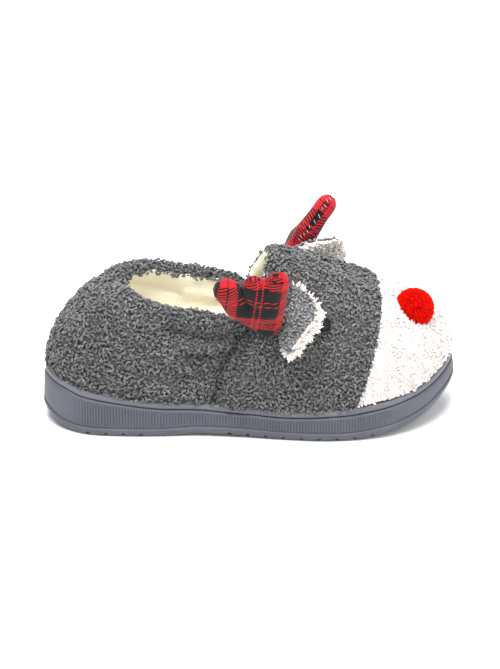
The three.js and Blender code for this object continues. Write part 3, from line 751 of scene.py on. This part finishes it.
def rubber_material(name, base, roughness):
    """Foamed rubber from a fine-sparked mould: a dull sheen and a faint grain of 0.4 mm."""
    material, tree = new_material(name)
    place = place_socket(tree)
    grain = noise(tree, place, 0.4, 2)
    clouds = stretch(tree, noise(tree, place, 22, 3), 0.3, 0.7)
    finish_material(
        tree,
        mix_colours(tree, clouds, shaded(base, 0.82), tuple(base)),
        grain,
        distance=0.05,
        strength=0.4,
        Roughness=roughness,
        IOR=1.5,
        Specular_IOR_Level=0.45,
    )
    return material


def yarn_material():
    """Acrylic yarn, cut: saturated and matt, with painted shade in the gaps between the ends."""
    material, tree = new_material("red_cut_yarn")
    shade, tip = attribute_socket(tree, "shade"), attribute_socket(tree, "tip")
    # Painted shade: each strand darkens towards its root, and the core, which has no tip, stays
    # darker; shade varies the strands at random
    gaps = stretch(tree, tip, 0, 1, 0.5, 1.0)
    painted_shade_and_tone = maths(tree, "MULTIPLY", gaps, stretch(tree, shade, 0, 1, 0.8, 1.0))
    yarn = tuple(colours().yarn)
    mixed = mix_colours(tree, painted_shade_and_tone, shaded(yarn, 0.45), yarn)
    finish_material(tree, mixed, Roughness=0.9, Specular_IOR_Level=0.1)
    return material


def eye_material():
    """Injection-moulded acrylic, polished: deep black with a sharp highlight."""
    material, tree = new_material("polished_black_eye")
    speck = stretch(tree, noise(tree, place_socket(tree), 3, 2), 0.4, 0.8)
    black = tuple(colours().eye)
    lighter = (*(0.02 + c for c in black[:3]), 1.0)
    mixed = mix_colours(tree, speck, black, lighter)
    finish_material(tree, mixed, Roughness=0.2, IOR=1.49, Specular_IOR_Level=0.25)
    return material


def floor_material():
    """Matt paper sweep of a photo studio."""
    material, tree = new_material("pale_paper_floor")
    paper = tuple(colours().floor)
    cloud = noise(tree, place_socket(tree), 400, 2)
    mixed = mix_colours(tree, cloud, shaded(paper, 0.985), paper)
    finish_material(tree, mixed, Roughness=0.9, Specular_IOR_Level=0.1)
    return material


def line_mask(tree, place, centre):
    """1 within a thin line round a centre, in millimetres of a repeating pattern."""
    away = maths(tree, "ABSOLUTE", maths(tree, "SUBTRACT", place, centre))
    return maths(tree, "LESS_THAN", away, THIN_LINE / 2)


def tartan_material():
    """Brushed cotton twill in a red and black check.

    Black bands cross red bands. Each black band carries a pair of thin red lines, each red band a
    thin black line. Where a red and a black yarn cross, the lines of the twill show.
    """
    material, tree = new_material("tartan_twill")
    cloth = add(tree, "ShaderNodeUVMap", uv_map="cloth").outputs["UV"]
    parts = add(tree, "ShaderNodeSeparateXYZ", {"Vector": cloth}).outputs
    yarns = []
    for axis in ("X", "Y"):
        spot = maths(tree, "FLOORED_MODULO", parts[axis], SETT)
        black = maths(tree, "LESS_THAN", spot, BLACK_BAND)
        for centre in RED_LINES:
            beside = maths(tree, "SUBTRACT", 1.0, line_mask(tree, spot, centre))
            black = maths(tree, "MULTIPLY", black, beside)
        yarns.append(maths(tree, "MAXIMUM", black, line_mask(tree, spot, BLACK_LINE)))
    slant = maths(tree, "MULTIPLY_ADD", parts["X"], TWILL_SLANT, parts["Y"])
    twill = maths(tree, "LESS_THAN", maths(tree, "FLOORED_MODULO", slant, HATCH), HATCH / 2)
    warp = maths(tree, "MULTIPLY", yarns[0], twill)
    weft = maths(tree, "MULTIPLY", yarns[1], maths(tree, "SUBTRACT", 1.0, twill))
    black = maths(tree, "ADD", warp, weft)
    nap = noise(tree, place_socket(tree), 0.7, 3, 0.7)
    red = tuple(colours().tartan_red)
    worn = mix_colours(tree, stretch(tree, nap, 0.3, 0.75, 0.0, 0.4), red, shaded(red, 0.45))
    finish_material(
        tree,
        mix_colours(tree, black, worn, tuple(colours().tartan_black)),
        nap,
        distance=0.25,
        Roughness=0.85,
        Sheen_Weight=0.1,
        Sheen_Roughness=0.5,
        Specular_IOR_Level=0.2,
    )
    return material


def thread_material(name, code):
    """Spun polyester sewing thread, a little shiny, with painted shade in the grooves between its
    plies.
    """
    material, tree = new_material(name)
    ply = noise(tree, place_socket(tree), 0.6, 1)
    bright = linear(code)
    # Painted shade: the ply noise darkens the thread in its grooves
    mixed = mix_colours(tree, ply, bright, shaded(bright, 0.7))
    finish_material(tree, mixed, ply, distance=0.1, Roughness=0.55)
    return material


# Operators: one for each piece or group of like pieces


def sizes():
    return bpy.context.scene.slipper_sizes


def swept(rows, points, normals):
    """A bmesh swept round the outline: each row gives an inset and a height at every point."""
    shape = bmesh.new()
    count = len(points)
    bmesh.ops.create_grid(shape, x_segments=count, y_segments=len(rows) - 1, size=1)
    shape.verts.ensure_lookup_table()
    for j, (inset, height) in enumerate(rows):
        inset = np.broadcast_to(inset, count)
        height = np.broadcast_to(height, count)
        ring = points - normals * inset[:, None]
        for i in range(count + 1):
            k = i % count
            place = (ring[k, 0] * MM, ring[k, 1] * MM, height[k] * MM)
            shape.verts[j * (count + 1) + i].co = place
    bmesh.ops.remove_doubles(shape, verts=shape.verts, dist=0.001 * MM)
    return shape


class SLIPPER_OT_sole(bpy.types.Operator):
    """Moulded sole with a plain foot band, a groove, fine ribs and cuts across its tread"""

    bl_idname = "slipper.sole"
    bl_label = "Sole and lip"

    def execute(self, context):
        points, normals, run = outline(OUTLINE_STEP)
        along = (points[:, 0] + HEEL_BACK) / LENGTH
        tread, top = tread_height(along), sole_top(along)
        pitch = sizes().rib_pitch / MM
        depth = sizes().rib_depth / MM
        ends = np.clip((along - RIBS_FROM) / 0.05, 0, 1) * np.clip((RIBS_TO - along) / 0.08, 0, 1)
        wave = 0.5 - 0.5 * np.cos(2 * math.pi * run / pitch)
        rib = depth * ends * (1 - wave**0.6)
        foot = BASE_BAND + GROOVE_WIDTH
        rows = [
            (TREAD_BEVEL + 2, tread),
            (TREAD_BEVEL, tread),
            (TREAD_BEVEL * 0.6, tread + 0.15),
            (TREAD_BEVEL * 0.25, tread + 0.9),
            (0.35, tread + 2.2),
            (0.0, tread + 3.6),
            (0.0, tread + BASE_BAND - 0.5),
            (0.35, tread + BASE_BAND),
            (GROOVE_DEPTH, tread + BASE_BAND + 0.35),
            (GROOVE_DEPTH, tread + BASE_BAND + GROOVE_WIDTH - 0.4),
            (0.25 + rib * 0.4, tread + foot),
            (0.25 + rib, tread + foot + 0.7),
            (WALL_LEAN * 0.6 + rib, top - GROOVE_WIDTH - 1.0),
            (WALL_LEAN * 0.7 + rib * 0.4, top - GROOVE_WIDTH - 0.3),
            (WALL_LEAN * 0.8, top - GROOVE_WIDTH),
            (WALL_LEAN, top - 0.9),
            (WALL_LEAN + 0.7, top - 0.45),
            (WALL_LEAN + 2.4, top - 0.35),
            (WALL_LEAN + 2.6, top),
        ]
        shape = swept(rows, points, normals)
        for at_tread in (True, False):
            close_side_to_side(shape, at_tread)
        bmesh.ops.recalc_face_normals(shape, faces=shape.faces)
        rubber = rubber_material("foamed_rubber_sole", colours().rubber, 0.55)
        sole = new_piece("ribbed_sole", shape, rubber)
        cut_tread(sole)
        sole.data.set_sharp_from_angle(angle=math.radians(42))
        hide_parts("sole")

        low, high = top + GAP, top + RAND_HEIGHT
        rows = [
            (RAND_INSET + RAND_THICK, low),
            (RAND_INSET + 0.5, low),
            (RAND_INSET, low + 0.5),
            (RAND_INSET - 0.1, (low + high) / 2),
            (RAND_INSET, high - 0.9),
            (RAND_INSET + 0.45, high - 0.25),
            (RAND_INSET + 1.1, high),
            (RAND_INSET + RAND_THICK, high),
            (RAND_INSET + RAND_THICK, low),
        ]
        shape = swept(rows, points, normals)
        bmesh.ops.recalc_face_normals(shape, faces=shape.faces)
        lip = new_piece("sole_lip", shape, rubber_material("foamed_rubber_lip", colours().lip, 0.5))
        lip.data.set_sharp_from_angle(angle=math.radians(50))
        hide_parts("rand")
        return {"FINISHED"}


def close_side_to_side(shape, at_tread):
    """Closes the open rim at the tread or at the top with strips from side to side."""
    rim = [edge for edge in shape.edges if edge.is_boundary]
    start = min(
        (vert for edge in rim for vert in edge.verts),
        key=lambda vert: (vert.co.z if at_tread else -vert.co.z, vert.co.x),
    )
    loop, seen = [start], {start}
    links = {}
    for edge in rim:
        a, b = edge.verts
        links.setdefault(a, []).append(b)
        links.setdefault(b, []).append(a)
    while True:
        ahead = [vert for vert in links[loop[-1]] if vert not in seen]
        if not ahead:
            break
        loop.append(ahead[0])
        seen.add(ahead[0])
    back = min(range(len(loop)), key=lambda i: loop[i].co.x)
    loop = loop[back:] + loop[:back]
    for i in range(len(loop) // 2):
        a, b = loop[i], loop[i + 1]
        c, d = loop[-i - 1], loop[-i] if i else loop[0]
        corners = list(dict.fromkeys((a, b, c, d)))
        if len(corners) > 2:
            shape.faces.new(corners)


def cut_tread(sole):
    """Cuts the tread's grooves across the sole."""
    shape = bmesh.new()
    heel = HEEL_BACK / LENGTH
    ball = (SIDE_VIEW[6]["along"] + SIDE_VIEW[7]["along"]) / 2
    for middle, count in ((heel, HEEL_CUTS), (ball, FOREFOOT_CUTS)):
        for i in range(count):
            along = middle + (i - (count - 1) / 2) * TREAD_PITCH / LENGTH
            centre = Vector((along * LENGTH - HEEL_BACK, 0, float(tread_height(along)))) * MM
            box = Matrix.Diagonal((TREAD_CUT * MM, CUT_REACH * MM, 2 * TREAD_CUT_DEPTH * MM, 1))
            bmesh.ops.create_cube(shape, size=1, matrix=Matrix.Translation(centre) @ box)
    cutter = linked("tread_cutter", mesh_of("tread_cutter", shape))
    cut = sole.modifiers.new("cuts", "BOOLEAN")
    cut.operation = "DIFFERENCE"
    cut.object = cutter
    cut.solver = "EXACT"
    made = applied(sole)
    sole.modifiers.clear()
    uncut, knife = sole.data, cutter.data
    sole.data = made
    bpy.data.objects.remove(cutter)
    bpy.data.meshes.remove(uncut)
    bpy.data.meshes.remove(knife)
    made.name = sole.name


def nearest_on(line, points):
    """The nearest point of a bent line for each point, and how far it is."""
    best = np.full(len(points), np.inf)
    nearest = np.zeros_like(points)
    for a, b in zip(line, line[1:]):
        t = np.clip(((points - a) @ (b - a)) / ((b - a) @ (b - a)), 0, 1)[:, None]
        spot = a + t * (b - a)
        away = np.linalg.norm(points - spot, axis=1)
        closer = away < best
        best[closer] = away[closer]
        nearest[closer] = spot[closer]
    return nearest, best


def foot_axis(points):
    """The nearest point of a line through the middle of the foot's space, for each point."""
    return nearest_on(np.array(FOOT_LINE) * MM, points)[0]


def outwards(points, normals):
    """How much a point of the upper faces away from the foot, from -1 to 1."""
    return (unit(points - foot_axis(points)) * normals).sum(1)


def bell(values, centre, width):
    """1 at the centre, and less away from it."""
    return np.exp(-(((values - centre) / width) ** 2))


def fold_amount(points, line, width, side=0):
    """1 on a line of (x, z) in millimetres, seen from the side, and less away from it."""
    away = nearest_on(np.array(line, float), points[:, (0, 2)] / MM)[1]
    amount = bell(away, 0, width)
    return amount * (side * points[:, 1] > 0) if side else amount


class SLIPPER_OT_upper(bpy.types.Operator):
    """Hollow upper: the wall with its folds, cream plush inside, and grey curls outside"""

    bl_idname = "slipper.upper"
    bl_label = "Upper, lining and fleece"

    def execute(self, context):
        mesh = remeshed("upper", UPPER_VOXEL, 4)
        points, normals = points_of(mesh), normals_of(mesh)
        inner = outwards(points, normals) < -0.2
        press = sum(
            fold_amount(points, line, width, side) * depth for line, depth, width, side in FOLDS
        )
        press = np.clip(press, -FOLD_LIMIT, FOLD_LIMIT) * MM
        points = points - unit(points - foot_axis(points)) * press[:, None]
        below = collar_depth(points)
        seam = bell(below, *COLLAR_SEAM) * COLLAR_SEAM_DEPTH * MM
        roll = bell(below, *COLLAR_ROLL) * COLLAR_ROLL_RISE * MM
        points = np.where(inner[:, None], points - normals * (seam - roll)[:, None], points)
        move_points(mesh, points)
        # The wall's outside takes the fleece's root colour: painted shade that shows between the
        # curls
        backing = backing_material("grey_knit_backing", *pile_colours("fleece"))
        wall = dress("upper_wall", mesh, backing, plush_material())
        centres, turned = vectors(mesh.polygons, "center"), vectors(mesh.polygons, "normal")
        edge = np.where(in_throat(centres), 0.5, 0.0)
        rim = rim_tree(mesh)
        lining = (outwards(centres, turned) < edge) & (distances(rim, centres) > (RIM_WRAP - 1) * MM)
        mesh.polygons.foreach_set("material_index", lining.astype(np.int32))
        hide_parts("upper")

        grey = pile_material("curly_grey_fleece", *pile_colours("fleece"))

        def fleece(spots, facing):
            along = (spots[:, 0] / MM + HEEL_BACK) / LENGTH
            above = spots[:, 2] / MM - sole_top(along) - RAND_HEIGHT
            clear = (above > -0.4) & (facing[:, 2] > -0.75) & clear_of_trims(spots)
            out = outwards(spots, facing) > np.where(in_throat(spots), 0.6, -0.02)
            kept = (out | (distances(rim, spots) < RIM_WRAP * MM)) & ~under_toe_panel(spots)
            return clear & kept & (fold_amount(spots, SIDE_SEAM, 1.3) < 0.6)

        spacing, size = sizes().curl_spacing, sizes().curl_size
        for name, back, front, seed in (
            ("fleece_heel", -HEEL_BACK, PART_LINE, 11),
            ("fleece_vamp", PART_LINE, LENGTH, 23),
        ):

            def keep(spots, facing, back=back, front=front):
                x = spots[:, 0] / MM
                return fleece(spots, facing) & (x >= back) & (x < front)

            grown = grow_curls(name, mesh, spacing, size, seed, keep, grey, shadow=fold_shadow)
        hanging_edge(grey)
        return {"FINISHED"}


def in_throat(points):
    """True by the throat's edge, where the lining shows up to the edge."""
    back, front, low = (share * MM for share in THROAT)
    return (points[:, 0] > back) & (points[:, 0] < front) & (points[:, 2] > low)


def rim_tree(mesh):
    """A search tree of the points on the collar's rim."""
    points, normals = points_of(mesh), normals_of(mesh)
    collar = (points[:, 2] > RIM_ABOVE * MM) & (points[:, 0] < RIM_BEHIND * MM)
    return tree_of(points[collar & (np.abs(outwards(points, normals)) < 0.25)])


def clear_of_eyes(spots, room):
    """True where a point is at least this room, in millimetres, away from the eyes."""
    clear = np.ones(len(spots), bool)
    for eye in ("eye_outer", "eye_inner"):
        away = np.linalg.norm(spots - sewing_frame(eye)[0], axis=1)
        clear &= away > (EYE_RADIUS + room) * MM
    return clear


def clear_of_trims(spots):
    """True away from the eyes and from under the ears, where no curl grows."""
    clear = clear_of_eyes(spots, EYE_ROOM)
    for node in ("ear_outer_back", "ear_outer_front", "ear_inner_back", "ear_inner_front"):
        ear = tree_of(points_of(frame["nodes"][node].data))
        clear &= distances(ear, spots) > EAR_ROOM * MM
    return clear


def fold_shadow(spots):
    """How much painted shadow darkens the curls in the folds, where their tops close over them."""
    dark = np.zeros(len(spots))
    for line, depth, width, side in FOLDS:
        if depth > 0:
            amount = fold_amount(spots, line, width * 1.1, side) * depth / FOLD_LIMIT
            dark = np.maximum(dark, amount)
    return np.clip(dark, 0, 0.75)


def hanging_edge(material):
    """The lowest row of curls in front of the side seam, which hangs over the lip."""
    rng = np.random.default_rng(41)
    points, normals, _ = outline(EDGE_STEP)
    along = (points[:, 0] + HEEL_BACK) / LENGTH
    lip = sole_top(along) + RAND_HEIGHT
    chosen = (points[:, 0] > PART_LINE) & (points[:, 0] < toe_seam(lip))
    points, normals, lip = points[chosen], normals[chosen], lip[chosen]
    count = len(points)
    inset = RAND_INSET + rng.uniform(-0.2, 1.2, count)
    height = lip + rng.uniform(-EDGE_HANG, 1.2, count)
    flat = points - normals * inset[:, None]
    spots = np.column_stack([flat, height]) * MM
    facing = unit(np.column_stack([normals, np.full(count, 0.1)]))
    made = plant_curls(spots, facing, sizes().curl_size * 0.9, rng, 0.1, 0.0)
    join_meshes("fleece_edge", made, material)


def collar_depth(points):
    """Depth below the collar's rim, in millimetres, by the rim's height at each length."""
    return np.interp(points[:, 0] / MM, *COLLAR_RIM) - points[:, 2] / MM


def toe_seam(height):
    """X of the toe panel's seam at each height, in millimetres."""
    (foot, _), (bend, middle), (top, rise) = TOE_SEAM
    up = np.clip(height / (rise * INSTEP_HEIGHT), 0, 1)
    t = np.linspace(0, 1, 40)
    z = 2 * (1 - t) * t * (middle / rise) + t**2
    x = (1 - t) ** 2 * foot + 2 * (1 - t) * t * bend + t**2 * top
    return np.interp(up, z, x) * LENGTH - HEEL_BACK


def under_toe_panel(points):
    return points[:, 0] / MM > toe_seam(points[:, 2] / MM) - 0.6


class SLIPPER_OT_toe_panel(bpy.types.Operator):
    """White boucle panel over the toe"""

    bl_idname = "slipper.toe_panel"
    bl_label = "Toe panel"

    def execute(self, context):
        mesh = remeshed("toe_cap", TRIM_VOXEL, 2)
        white = pile_material("white_boucle", *pile_colours("boucle"), patch=10, contrast=0.35)
        # The backing takes the boucle's root colour: painted shade between the curls
        ground = backing_material("white_knit_backing", *pile_colours("boucle"))
        panel = dress("toe_panel", mesh, ground)
        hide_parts("toe_cap")

        def outside(spots, facing):
            return (outwards(spots, facing) > 0.0) & (facing[:, 2] > -0.8)

        spacing, size = sizes().boucle_spacing, sizes().boucle_size
        grown = grow_curls("toe_boucle", mesh, spacing, size, 37, outside, white, lift=-0.3)
        return {"FINISHED"}


def sewing_frame(name):
    """The origin and the three axes of a trim, in metres."""
    spot, points, faces = SEWN[name]
    origin = Vector((spot[0] * LENGTH - HEEL_BACK, spot[1] * BALL_WIDTH, spot[2] * INSTEP_HEIGHT))
    x = Vector(points).normalized()
    y = Vector(faces).cross(x).normalized()
    return np.array(origin) * MM, np.array([x, y, x.cross(y)])


def in_trim(name, points):
    """Points in a trim's own axes, in millimetres."""
    origin, axes = sewing_frame(name)
    return (points - origin) @ axes.T / MM


class SLIPPER_OT_ears(bpy.types.Operator):
    """Two leaf ears: grey fleece behind, white pile in front with a ragged rim"""

    bl_idname = "slipper.ears"
    bl_label = "Ears"

    def execute(self, context):
        # The root colours are painted shade between the ears' curls and on their backings
        tips, root_shade = pile_colours("fleece")
        grey = pile_material("grey_ear_fleece", shaded(tips, 1.45), root_shade, 8, 0.8)
        white = pile_material("white_ear_pile", *pile_colours("boucle"), 8, 0.35)
        under_grey = backing_material("grey_satin_backing", linear("#8C8D94"), linear("#525359"))
        under_white = backing_material("white_ear_backing", *pile_colours("boucle"))
        for k, ear in enumerate(("ear_outer", "ear_inner")):
            for layer, side, pile, ground, spacing in (
                ("back", -1, grey, under_grey, 1.5),
                ("front", 1, white, under_white, 1.75),
            ):
                node, slot = f"{ear}_{layer}", f"ear_{layer}"
                mesh = remeshed(node, TRIM_VOXEL, 3)
                sheet = dress(f"{node}_cloth", mesh, ground)
                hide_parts(node)
                axis = sewing_frame(ear)[1][2]
                least = 0.3 if node in ("ear_outer_back", "ear_inner_front") else -0.35
                bare = BARE_EDGE if node == "ear_outer_back" else 0
                edge = tree_of(points_of(mesh)[np.abs(normals_of(mesh) @ axis) < 0.4])

                def shown(spots, facing, side=side, axis=axis, least=least, bare=bare, edge=edge):
                    away = distances(edge, spots) >= bare * MM
                    return (side * (facing @ axis) > least) & away

                # The inner ear's grey fleece stands up over its edge
                lift = 0.9 if node == "ear_inner_back" else 0.1
                seed = 51 + 10 * k + side
                place, size = spacing * MM, EAR_CURL * MM
                name = f"{node}_pile"
                grown = grow_curls(name, mesh, place, size, seed, shown, pile, lift=lift)
            ragged_rim(ear, white, 71 + k)
        return {"FINISHED"}


def ragged_rim(ear, material, seed):
    """Pointed locks of pile that stand out round the ear's white front.

    The outer ear's locks also stand over the forward edge of its back. The inner ear has none on
    its upper edge, where its grey back shows.
    """
    rng = np.random.default_rng(seed)
    axes = sewing_frame(ear)[1]
    rims = (("front", 1.0), ("back", -0.4)) if ear == "ear_outer" else (("front", 0.2),)
    path = np.array([[-0.3, 0, 0], [0.35, 0.04, 0.02], [0.75, 0.12, 0], [1.1, 0.26, 0]])
    template = tube(path, [0.3, 0.26, 0.17, 0.03], 4)
    locks = []
    for layer, most in rims:
        mesh = bpy.data.objects[f"{ear}_{layer}_cloth"].data
        points, normals = points_of(mesh), normals_of(mesh)
        edge = (np.abs(normals @ axes[2]) < 0.5) & (normals @ axes[1] < most)
        edge &= (in_trim(ear, points)[:, 0] > 2) & clear_of_eyes(points, LOCK_ROOM)
        chosen = np.where(edge & (rng.random(len(edge)) < 0.7))[0]
        out = unit(normals[chosen] + rng.normal(scale=0.35, size=(len(chosen), 3)))
        aside = unit(np.cross(out, rng.normal(size=(len(chosen), 3))))
        frames = np.stack([out, aside, np.cross(out, aside)], axis=1)
        lengths = rng.uniform(*LOCK_LENGTHS, len(chosen)) * MM
        shades = rng.uniform(0.4, 1, len(chosen))
        locks.append(plant(template, points[chosen], frames, lengths, shades))
    join_meshes(f"{ear}_rim", locks, material)


class SLIPPER_OT_antlers(bpy.types.Operator):
    """Two stuffed tartan antlers with a seam round their edge and whip stitches"""

    bl_idname = "slipper.antlers"
    bl_label = "Antlers"

    def execute(self, context):
        tartan = tartan_material()
        for k, (node, turn, centre, thread) in enumerate(
            (
                ("antler_outer", -12, (36, 4), thread_material("red_sewing_thread", "#8A1A1E")),
                ("antler_inner", 12, (30, 2), thread_material("white_sewing_thread", "#E9E3E4")),
            )
        ):
            mesh = remeshed(node, TRIM_VOXEL, 6)
            points, normals = points_of(mesh), normals_of(mesh)
            local = in_trim(node, points)
            edge = np.abs(normals @ sewing_frame(node)[1][2]) < 0.7
            seam = bell(local[:, 2], 0, EDGE_SEAM_WIDTH) * edge
            lumps = 0.175 * np.sin(local[:, 0] / 3.1 + 1.3 * np.sin(local[:, 1] / 4.3))
            swell = lumps + STUFFING_SWELL - EDGE_SEAM_DEPTH * seam
            move_points(mesh, points + normals * swell[:, None] * MM)
            antler = dress(f"{node}_cloth", mesh, tartan)
            cloth_map(antler, node, turn, centre)
            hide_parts(node)
            whip_stitches(antler, node, thread, 91 + k)
        return {"FINISHED"}


def cloth_map(piece, node, turn, centre):
    """A UV map in millimetres of cloth, laid on the antler's plane and drawn over its edge.

    The middle of a black band lies on the centre, given in the antler's plane.
    """
    mesh = piece.data
    local = in_trim(node, points_of(mesh))
    turned = normals_of(mesh) @ sewing_frame(node)[1].T
    steep = np.clip(np.linalg.norm(turned[:, :2], axis=1), 1e-6, 1)
    drawn = EDGE_ROUND * (np.arcsin(steep) / steep - 1)
    flat = local[:, :2] + turned[:, :2] * drawn[:, None] - np.array(centre)
    angle = math.radians(turn)
    u = flat[:, 1] * math.cos(angle) - flat[:, 0] * math.sin(angle) + BLACK_BAND / 2
    v = flat[:, 0] * math.cos(angle) + flat[:, 1] * math.sin(angle) + BLACK_BAND / 2
    loops = np.empty(len(mesh.loops), np.int32)
    mesh.loops.foreach_get("vertex_index", loops)
    layer = mesh.uv_layers.new(name="cloth")
    layer.uv.foreach_set("vector", np.column_stack([u, v])[loops].astype(np.float32).ravel())


def whip_stitches(piece, node, material, seed):
    """Short slanting stitches over the seam that runs round the antler's edge."""
    rng = np.random.default_rng(seed)
    points, normals = points_of(piece.data), normals_of(piece.data)
    local = in_trim(node, points)
    face = sewing_frame(node)[1][2]
    edge = np.where((np.abs(local[:, 2]) < 0.8) & (np.abs(normals @ face) < 0.6))[0]
    rng.shuffle(edge)
    kept = []
    for i in edge:
        if all(np.linalg.norm(points[i] - points[j]) > STITCH_GAP * MM for j in kept):
            kept.append(i)
    out = normals[kept]
    along = unit(np.cross(face, out))
    way = unit(face + 0.6 * along)
    way = unit(way - out * (way * out).sum(1)[:, None])
    frames = np.stack([way, np.cross(out, way), out], axis=1)
    path = np.array([[-1, 0, -0.25], [-0.5, 0, 0.12], [0, 0, 0.22], [0.5, 0, 0.12], [1, 0, -0.25]])
    template = tube(path, [0.08, 0.11, 0.11, 0.11, 0.08], 5)
    reach = np.full(len(kept), STITCH_REACH * MM)
    stitched = plant(template, points[kept], frames, reach, np.ones(len(kept)))
    join_meshes(f"{node}_stitches", [stitched], material)


class SLIPPER_OT_eyes(bpy.types.Operator):
    """Two glossy black eyes"""

    bl_idname = "slipper.eyes"
    bl_label = "Eyes"

    def execute(self, context):
        gloss = eye_material()
        for node in ("eye_outer", "eye_inner"):
            eye = dress(f"{node}_bead", remeshed(node, EYE_VOXEL, 6), gloss)
            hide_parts(node)
        return {"FINISHED"}


class SLIPPER_OT_pompom(bpy.types.Operator):
    """Pompom of cut red yarn"""

    bl_idname = "slipper.pompom"
    bl_label = "Pompom"

    def execute(self, context):
        yarn = yarn_material()
        core = dress("pompom_core", remeshed("pompom", POMPOM_VOXEL, 8), yarn)
        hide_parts("pompom")
        rng = np.random.default_rng(101)
        count = sizes().strands
        turn = rng.uniform(0, 2 * math.pi, count)
        height = rng.uniform(-1, 1, count)
        ring = np.sqrt(1 - height**2)
        out = np.column_stack([ring * np.cos(turn), ring * np.sin(turn), height])
        radius = YARN_ROOT * MM + rng.uniform(0, 0.5, count) * MM
        spots = sewing_frame("pompom")[0] + out * radius[:, None]
        way = unit(out + rng.normal(scale=0.16, size=(count, 3)))
        aside = unit(np.cross(way, rng.normal(size=(count, 3))))
        frames = np.stack([way, aside, np.cross(way, aside)], axis=1)
        template = tube([[0, 0, 0], [0.5, 0.02, 0], [1, 0.06, 0]], [0.09, 0.1, 0.06], 3)
        lengths = sizes().strand_length * rng.uniform(0.8, 1.1, count)
        strands = plant(template, spots, frames, lengths, rng.uniform(0, 1, count))
        join_meshes("pompom_yarn", [strands], yarn)
        return {"FINISHED"}


class SLIPPER_OT_insole(bpy.types.Operator):
    """Insole with a cream plush cover"""

    bl_idname = "slipper.insole"
    bl_label = "Insole"

    def execute(self, context):
        insole = dress("insole_plush", remeshed("insole", UPPER_VOXEL, 5), plush_material())
        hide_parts("insole")
        return {"FINISHED"}


class SLIPPER_OT_stage(bpy.types.Operator):
    """Pale floor, soft studio light and the camera"""

    bl_idname = "slipper.stage"
    bl_label = "Stage"

    def execute(self, context):
        shape = bmesh.new()
        bmesh.ops.create_grid(shape, x_segments=1, y_segments=1, size=FLOOR_SIZE)
        floor = linked("floor", mesh_of("floor", shape))
        floor.data.materials.append(floor_material())

        world = bpy.data.worlds.new("studio")
        world.use_nodes = True
        sky = world.node_tree.nodes["Background"]
        sky.inputs["Color"].default_value = linear("#FFFFFF")
        sky.inputs["Strength"].default_value = SKY_LIGHT
        context.scene.world = world
        for name, place, size, power in LAMPS:
            lamp = bpy.data.lights.new(name, "AREA")
            lamp.size = size
            lamp.energy = power
            aimed(linked(name, lamp), Vector(place), Vector(LAMPS_AIM))

        azimuth, elevation = math.radians(AZIMUTH), math.radians(ELEVATION)
        level = math.cos(elevation)
        back = Vector(
            (math.sin(azimuth) * level, -math.cos(azimuth) * level, math.sin(elevation))
        )
        data = bpy.data.cameras.new("camera")
        data.lens = LENS
        camera = linked("camera", data)
        aimed(camera, Vector(CAMERA_PIVOT) + back * CAMERA_AWAY, Vector(CAMERA_AIM))
        context.scene.camera = camera
        context.scene.view_settings.view_transform = "Standard"
        return {"FINISHED"}


def aimed(made, place, aim):
    """Puts a lamp or the camera at its place and turns it to its aim."""
    made.location = place
    made.rotation_euler = (aim - place).to_track_quat("-Z", "Y").to_euler()


class SLIPPER_PT_panel(bpy.types.Panel):
    """Lists the slipper's sizes, colours and pieces."""

    bl_idname = "SLIPPER_PT_panel"
    bl_label = "Slipper"
    bl_space_type = "VIEW_3D"
    bl_region_type = "UI"
    bl_category = "Slipper"

    def draw(self, context):
        for group in (context.scene.slipper_sizes, context.scene.slipper_colours):
            box = self.layout.box()
            for name in group.__annotations__:
                box.prop(group, name)
        for operator in OPERATORS:
            self.layout.operator(operator.bl_idname)


OPERATORS = (
    SLIPPER_OT_stage,
    SLIPPER_OT_sole,
    SLIPPER_OT_insole,
    SLIPPER_OT_upper,
    SLIPPER_OT_toe_panel,
    SLIPPER_OT_ears,
    SLIPPER_OT_antlers,
    SLIPPER_OT_eyes,
    SLIPPER_OT_pompom,
)
CLASSES = (SlipperSizes, SlipperColours, *OPERATORS, SLIPPER_PT_panel)


def register():
    for kind in CLASSES:
        bpy.utils.register_class(kind)
    bpy.types.Scene.slipper_sizes = PointerProperty(type=SlipperSizes)
    bpy.types.Scene.slipper_colours = PointerProperty(type=SlipperColours)


def unregister():
    del bpy.types.Scene.slipper_colours
    del bpy.types.Scene.slipper_sizes
    for kind in reversed(CLASSES):
        bpy.utils.unregister_class(kind)


def main():
    register()
    for operator in OPERATORS:
        group, name = operator.bl_idname.split(".")
        getattr(getattr(bpy.ops, group), name)()


if __name__ == "__main__":
    main()
